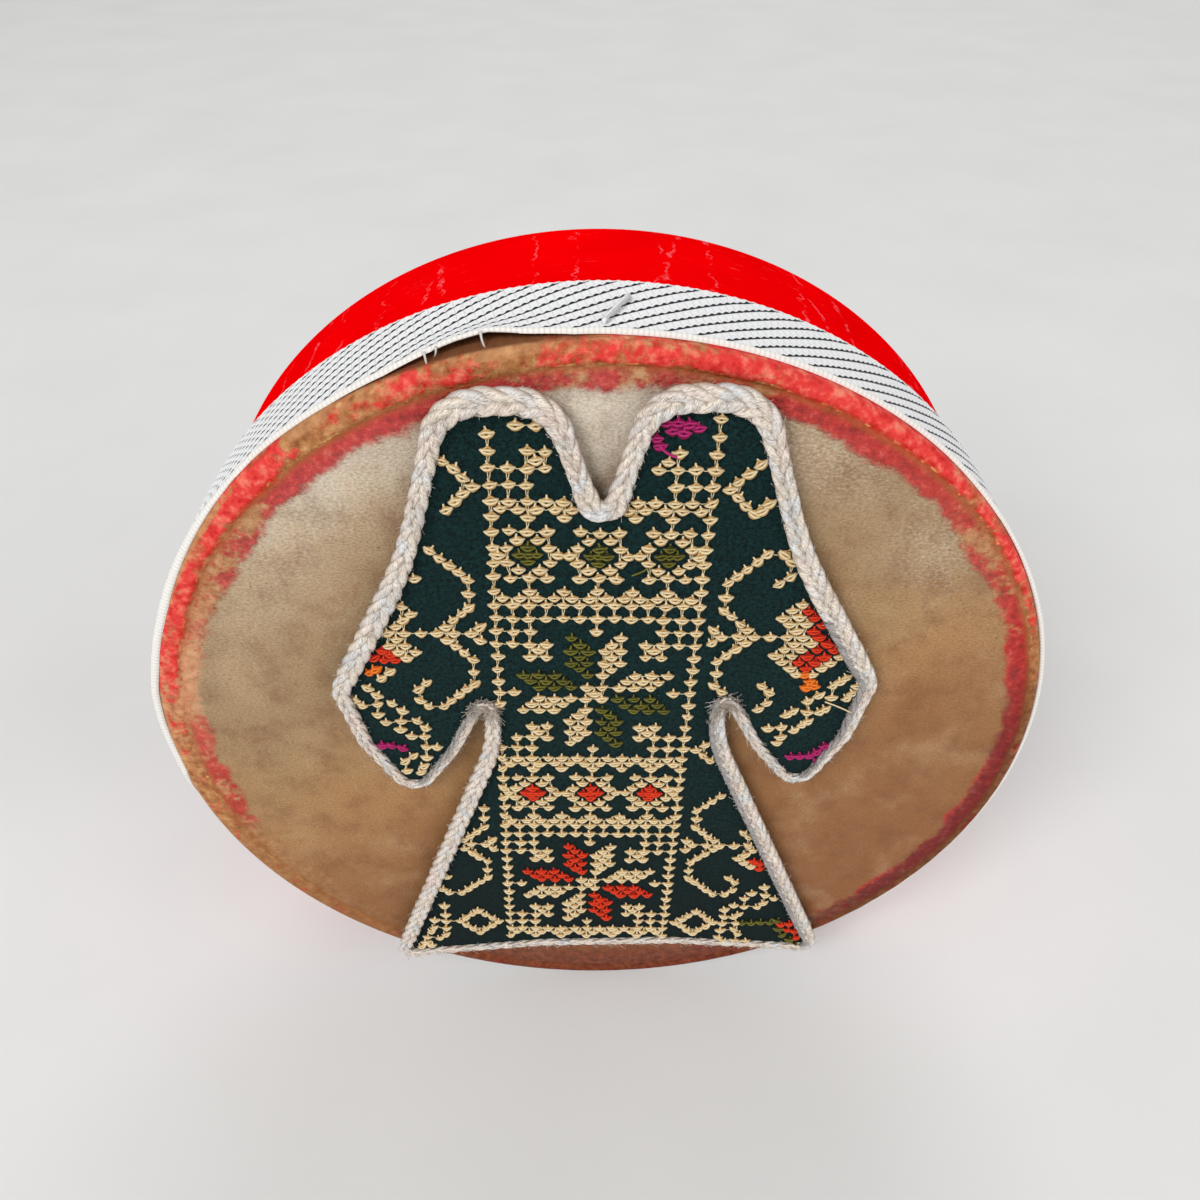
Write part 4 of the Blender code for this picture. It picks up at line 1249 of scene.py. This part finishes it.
# Small loops at the neck, the cuffs and the hem, placed one by one
BY_EYE = {
    "red": (
        (48.6, -71.8), (50.8, -71.2), (52.8, -70.6), (50.8, -74.4), (52.8, -75.0), (53.6, -78.2),
        (38.7, -43.3), (40.3, -44.0), (40.6, -46.2), (-45.3, 31.1), (-43.6, 30.1), (-45.2, 28.5),
        (-43.0, 28.4),
    ),
    "orange": (
        (44.2, 22.3), (45.5, 20.4), (46.7, 19.0), (45.0, 18.6), (-47.4, 26.1), (-49.0, 25.2),
        (-48.6, 23.8),
    ),
    "magenta": (
        (12.6, 84.4), (14.7, 84.6), (16.8, 84.2), (18.6, 83.4), (13.9, 82.9), (15.9, 82.6), (11.0, 81.4),
        (11.6, 79.7), (-49.5, 2.2), (-47.5, 2.2), (-45, 1.3), (43.8, -3.6), (46.2, -3.6), (48.4, -3.5),
        (49.8, -2.2), (51.6, -0.4), (50.4, -5.4),
    ),
    "olive": (
        (38, -70.6), (40.6, -70.8), (43, -70.6), (45.4, -70.4), (47.2, -70), (48, -73.8), (49.7, -76.6),
        (51.6, -79.2), (53.2, -81.6),
    ),
    "cream": (
        (31.4, 65.3), (32.6, 66.8), (-46.5, 23.5), (-44.5, 25.3), (-42.4, 27.5), (-50, 20.5),
        (-48.3, 18.3), (-48.5, 15.3), (-52, 15), (-53.5, 17), (-45.5, 15.5), (-43.5, 13.5), (-44, 10),
        (-47.5, 9.5), (-49, 12), (-40.5, 10), (-39, 8), (-39.5, 5), (-42.5, 5), (-44.5, 7.5),
        (-39.5, 1.5), (-37, 1.5), (-40, -2), (-43, -1.5), (-45, -3), (-45, -6.5), (-41.8, -7),
        (-40.8, -5), (53.5, 21.5), (52.2, 20.3), (51, 19), (51, 15.5), (54.3, 15.2), (55.6, 16.6),
        (56, 18.6), (48.2, 16.2), (46, 14.5), (46, 11), (49, 11), (50.2, 12), (51.3, 13), (43, 11.3),
        (41.8, 10.3), (40.8, 9.3), (41, 6.3), (44, 5.4), (45.4, 6.8), (46.5, 8.2), (37.8, 6), (41, 3),
        (40.4, 1), (-42, -60.5), (-42, -64.5), (-42.3, -67.6), (-42.4, -71), (-42.8, -74),
        (-44.8, -75.6), (-45.3, -67), (-45.8, -70.5), (-46.8, -72.4), (-48.2, -75), (-49, -77.4),
        (-50.2, -79.4), (-47.6, -78.8), (39.6, -57), (37.8, -59.3), (38, -63), (41.5, -63.2),
        (43, -61.6), (43, -58), (42.7, -54.6), (45.6, -59.8), (35, -62.3), (32.8, -64.2), (32.7, -67.4),
        (36.6, -66.4), (35.4, -67.8), (32.5, -70.7), (36.2, -70.8), (32.3, -74), (35.8, -74), (37, -76),
        (31.6, -77.2), (33.2, -79.2), (36.6, -79), (39.6, -79.6),
    ),
}


def arch(*points):
    """Points of a symmetrical arch from those of its left half."""
    return points + tuple((-x, z, rise) for x, z, rise in reversed(points[:-1]))


# Stitches: each a raised knot of thin threads, as (tone, half width, points of x, z and rise); tone 0 takes
# the paler copy of its thread, a painted highlight, and tone 1 the darker copy, painted shade
STITCH_LOOPS = (
    (1, 0.25, ((-1.05, 0.08, 0.1), (-0.65, 0.13, 0.5), (-0.08, 0.15, 0.42))),
    (1, 0.25, ((1.05, 0.08, 0.1), (0.65, 0.13, 0.5), (0.08, 0.15, 0.42))),
    (1, 0.25, arch((-1.2, 0, 0.05), (-0.62, -0.48, 0.42), (0, -0.76, 0.5))),
    (0, 0.25, arch((-1.28, 0.06, 0.1), (-0.6, -0.18, 0.6), (0, -0.32, 0.74))),
    (0, 0.25, arch((-1.25, 0.16, 0.08), (-0.58, 0.42, 0.6), (0, 0.58, 0.74))),
    (1, 0.26, arch((-0.8, 0.48, 0.2), (-0.32, 0.84, 0.52), (0, 1.1, 0.5))),
    (0, 0.22, ((-0.1, 0.85, 0.62), (0, 1.2, 0.5), (0.03, 1.48, 0.2))),
)
STITCH_KINDS = 5
STITCH_STRAY = 0.09
STITCH_EDGE = (0.35, 2.3)
STITCH_APART = 1.5
STITCH_SLANT = 28
NEIGHBOUR_REACH = 2.9
PANEL_HALF = 21.5
THREAD_TWIST = 2.5
THREAD_FINENESS = 2.0


def thread(name, tint, shade):
    """Fine, hard-twisted embroidery thread."""
    return yarn(f"{name}_thread", tint, shade, THREAD_TWIST, THREAD_FINENESS)


# Each colour as two copies of one thread: the paler is painted highlight, the darker (golden for cream)
# painted shade
THREADS = {
    "cream": [
        thread("cream", (255, 244, 208), (224, 188, 130)),
        thread("golden", (230, 190, 124), (144, 98, 48)),
    ],
    "olive": [
        thread("olive", (142, 136, 52), (48, 50, 10)),
        thread("shaded_olive", (66, 66, 14), (14, 16, 2)),
    ],
    "red": [
        thread("red", (252, 78, 32), (206, 38, 12)),
        thread("shaded_red", (204, 32, 10), (112, 10, 4)),
    ],
    "orange": [
        thread("orange", (255, 152, 52), (232, 104, 20)),
        thread("shaded_orange", (238, 106, 14), (182, 64, 8)),
    ],
    "magenta": [
        thread("magenta", (214, 56, 136), (160, 20, 90)),
        thread("shaded_magenta", (160, 12, 82), (86, 4, 44)),
    ],
}


def smooth(points, parts):
    """A curve through the points, with some steps between each two."""
    points = np.array([points[0], *points, points[-1]], float)
    line = []
    for a, b, c, d in zip(points, points[1:], points[2:], points[3:]):
        for share in np.arange(parts) / parts:
            bend = (2 * a - 5 * b + 4 * c - d) * share**2 + (3 * b - a - 3 * c + d) * share**3
            line.append(b + 0.5 * ((c - a) * share + bend))
    return np.array(line + [points[-1]])


stitch_kinds = []
for _ in range(STITCH_KINDS):
    knots = (Shape(), Shape())
    for tone, half_width, loop in STITCH_LOOPS:
        path = np.array([(x, -rise, z) for x, z, rise in loop])
        path += np.array([[random.uniform(-STITCH_STRAY, STITCH_STRAY) for _ in range(3)] for _ in loop])
        tube(knots[tone], smooth(path, 2), half_width, 5)
    stitch_kinds.append([
        (np.concatenate(knot.points), knot.faces, np.concatenate(knot.lies)) for knot in knots
    ])

fine_line, _ = even_steps(cord_line, 0.8)
fine_breadth = braid_breadth(line_sides(fine_line)[1])
sewn = []
sewn_colours = []
kept = {}
for colour, placed in BY_EYE.items():
    spots = np.array(chart.get(colour, ()), float).reshape(-1, 2)
    spots = spots[within(spots, fine_line)]
    gap, nearest = clearance(spots, fine_line)
    spots = spots[gap > STITCH_EDGE[0] + STITCH_EDGE[1] * fine_breadth[nearest]]
    kept[colour] = []
    for x, z in [*placed, *spots]:
        if all(math.hypot(x - a, z - b) >= STITCH_APART for a, b in sewn):
            sewn.append((x, z))
            sewn_colours.append(colour)
            kept[colour].append((x, z))
sewn = np.array(sewn)


def slant_of(x, z):
    """Lean in degrees of a stitch outside the middle panel, where its neighbours lie on one slanting line."""
    if abs(x) < PANEL_HALF:
        return 0
    gap = sewn - (x, z)
    reach = np.hypot(gap[:, 0], gap[:, 1])
    close = gap[(reach > 0.1) & (reach < NEIGHBOUR_REACH)]
    ways = {1 if dx * dz > 0 else -1 for dx, dz in close if min(abs(dx), abs(dz)) > 0.9}
    return STITCH_SLANT * ways.pop() if len(ways) == 1 and len(close) <= 2 else 0


cream = sorted(kept.pop("cream"), key=lambda spot: spot[1])
third = len(cream) // 3
kept["cream_lower"] = cream[:third]
kept["cream_middle"] = cream[third : 2 * third]
kept["cream_upper"] = cream[2 * third :]
for colour, spots in kept.items():
    stitches = Shape()
    for x, z in spots:
        turn = math.radians(slant_of(x, z) + random.uniform(-10, 10))
        x += random.uniform(-0.16, 0.16)
        z += random.uniform(-0.16, 0.16)
        grow = random.uniform(0.94, 1.1)
        wide = grow * random.choice((-1, 1)) * random.uniform(0.94, 1.08)
        level = cloth_level(x, z) + 0.05
        start = random.uniform(0, 50)
        for tone, (knot_points, faces, lies) in enumerate(random.choice(stitch_kinds)):
            flat = knot_points * (wide, grow, grow)
            across = flat[:, 0] * math.cos(turn) - flat[:, 2] * math.sin(turn)
            up = flat[:, 0] * math.sin(turn) + flat[:, 2] * math.cos(turn)
            points = np.stack([x + across, level + flat[:, 1], z + up], axis=1)
            stitches.add(points, faces, tone, lies + np.array((start, 0, 0)))
    threads = THREADS[colour.split("_")[0]]
    piece = stitches.build(f"{colour}_stitches", threads, sharp=ALL_SMOOTH)

# Thread that shows between neighbouring stitches: two strands upwards, one sideways
LINK_HALF = 0.11
LINK_RISE = 0.12
LINK_CLEAR = 1.25
links = Shape()


def link(start, end, sag):
    """One strand on the cloth between two points, which sags in the middle."""
    middle = ((start[0] + end[0]) / 2, (start[1] + end[1]) / 2 - sag)
    path = [(x, cloth_level(x, z) - LINK_RISE, z) for x, z in (start, middle, end)]
    tube(links, path, LINK_HALF, 4)


plain = np.array([colour == "cream" for colour in sewn_colours])
for x, z in cream:
    gap = sewn - (x, z)
    above = (np.abs(gap[:, 0]) < 0.6) & (gap[:, 1] > 2.6) & (gap[:, 1] < 4.3) & plain
    beside = (np.abs(gap[:, 1]) < 0.6) & (gap[:, 0] > 3.3) & (gap[:, 0] < 4.0) & plain
    for dx, dz in gap[above | beside]:
        middle = np.hypot(gap[:, 0] - dx / 2, gap[:, 1] - dz / 2)
        if middle.min() < LINK_CLEAR:
            continue
        if dz > 2:
            for way in (-1, 1):
                link((x + 0.1 * way, z + 1.1), (x + dx + 0.3 * way, z + dz - 0.6), 0)
        else:
            link((x + 1.0, z + 0.1), (x + dx - 1.0, z + dz + 0.1), 0.2)


def loose(colour, points, half_width):
    """A loose end of thread through points of x, z and rise."""
    ends = Shape()
    path = smooth([(x, cloth_level(x, z) - rise, z) for x, z, rise in points], 4)
    tube(ends, path, half_width, 5)
    threads = THREADS[colour][:1]
    ends.build(f"loose_{colour}_end", threads, sharp=ALL_SMOOTH)


loose("olive", ((10.4, 53.0, 0.5), (9.2, 51.9, 0.7), (8.0, 51.1, 0.5), (6.8, 50.4, 0.3)), 0.2)
loose("magenta", ((11.4, 80.4, 0.8), (12.4, 79.4, 1.1), (13.6, 78.5, 1.2), (14.6, 78.0, 1.0)), 0.28)
loose("cream", ((49.6, 14.4, 0.5), (52.2, 13.4, 0.9), (54.6, 12.2, 1.2), (57.2, 10.6, 1.4)), 0.2)
links_piece = links.build("linking_threads", THREADS["cream"][:1], sharp=ALL_SMOOTH)
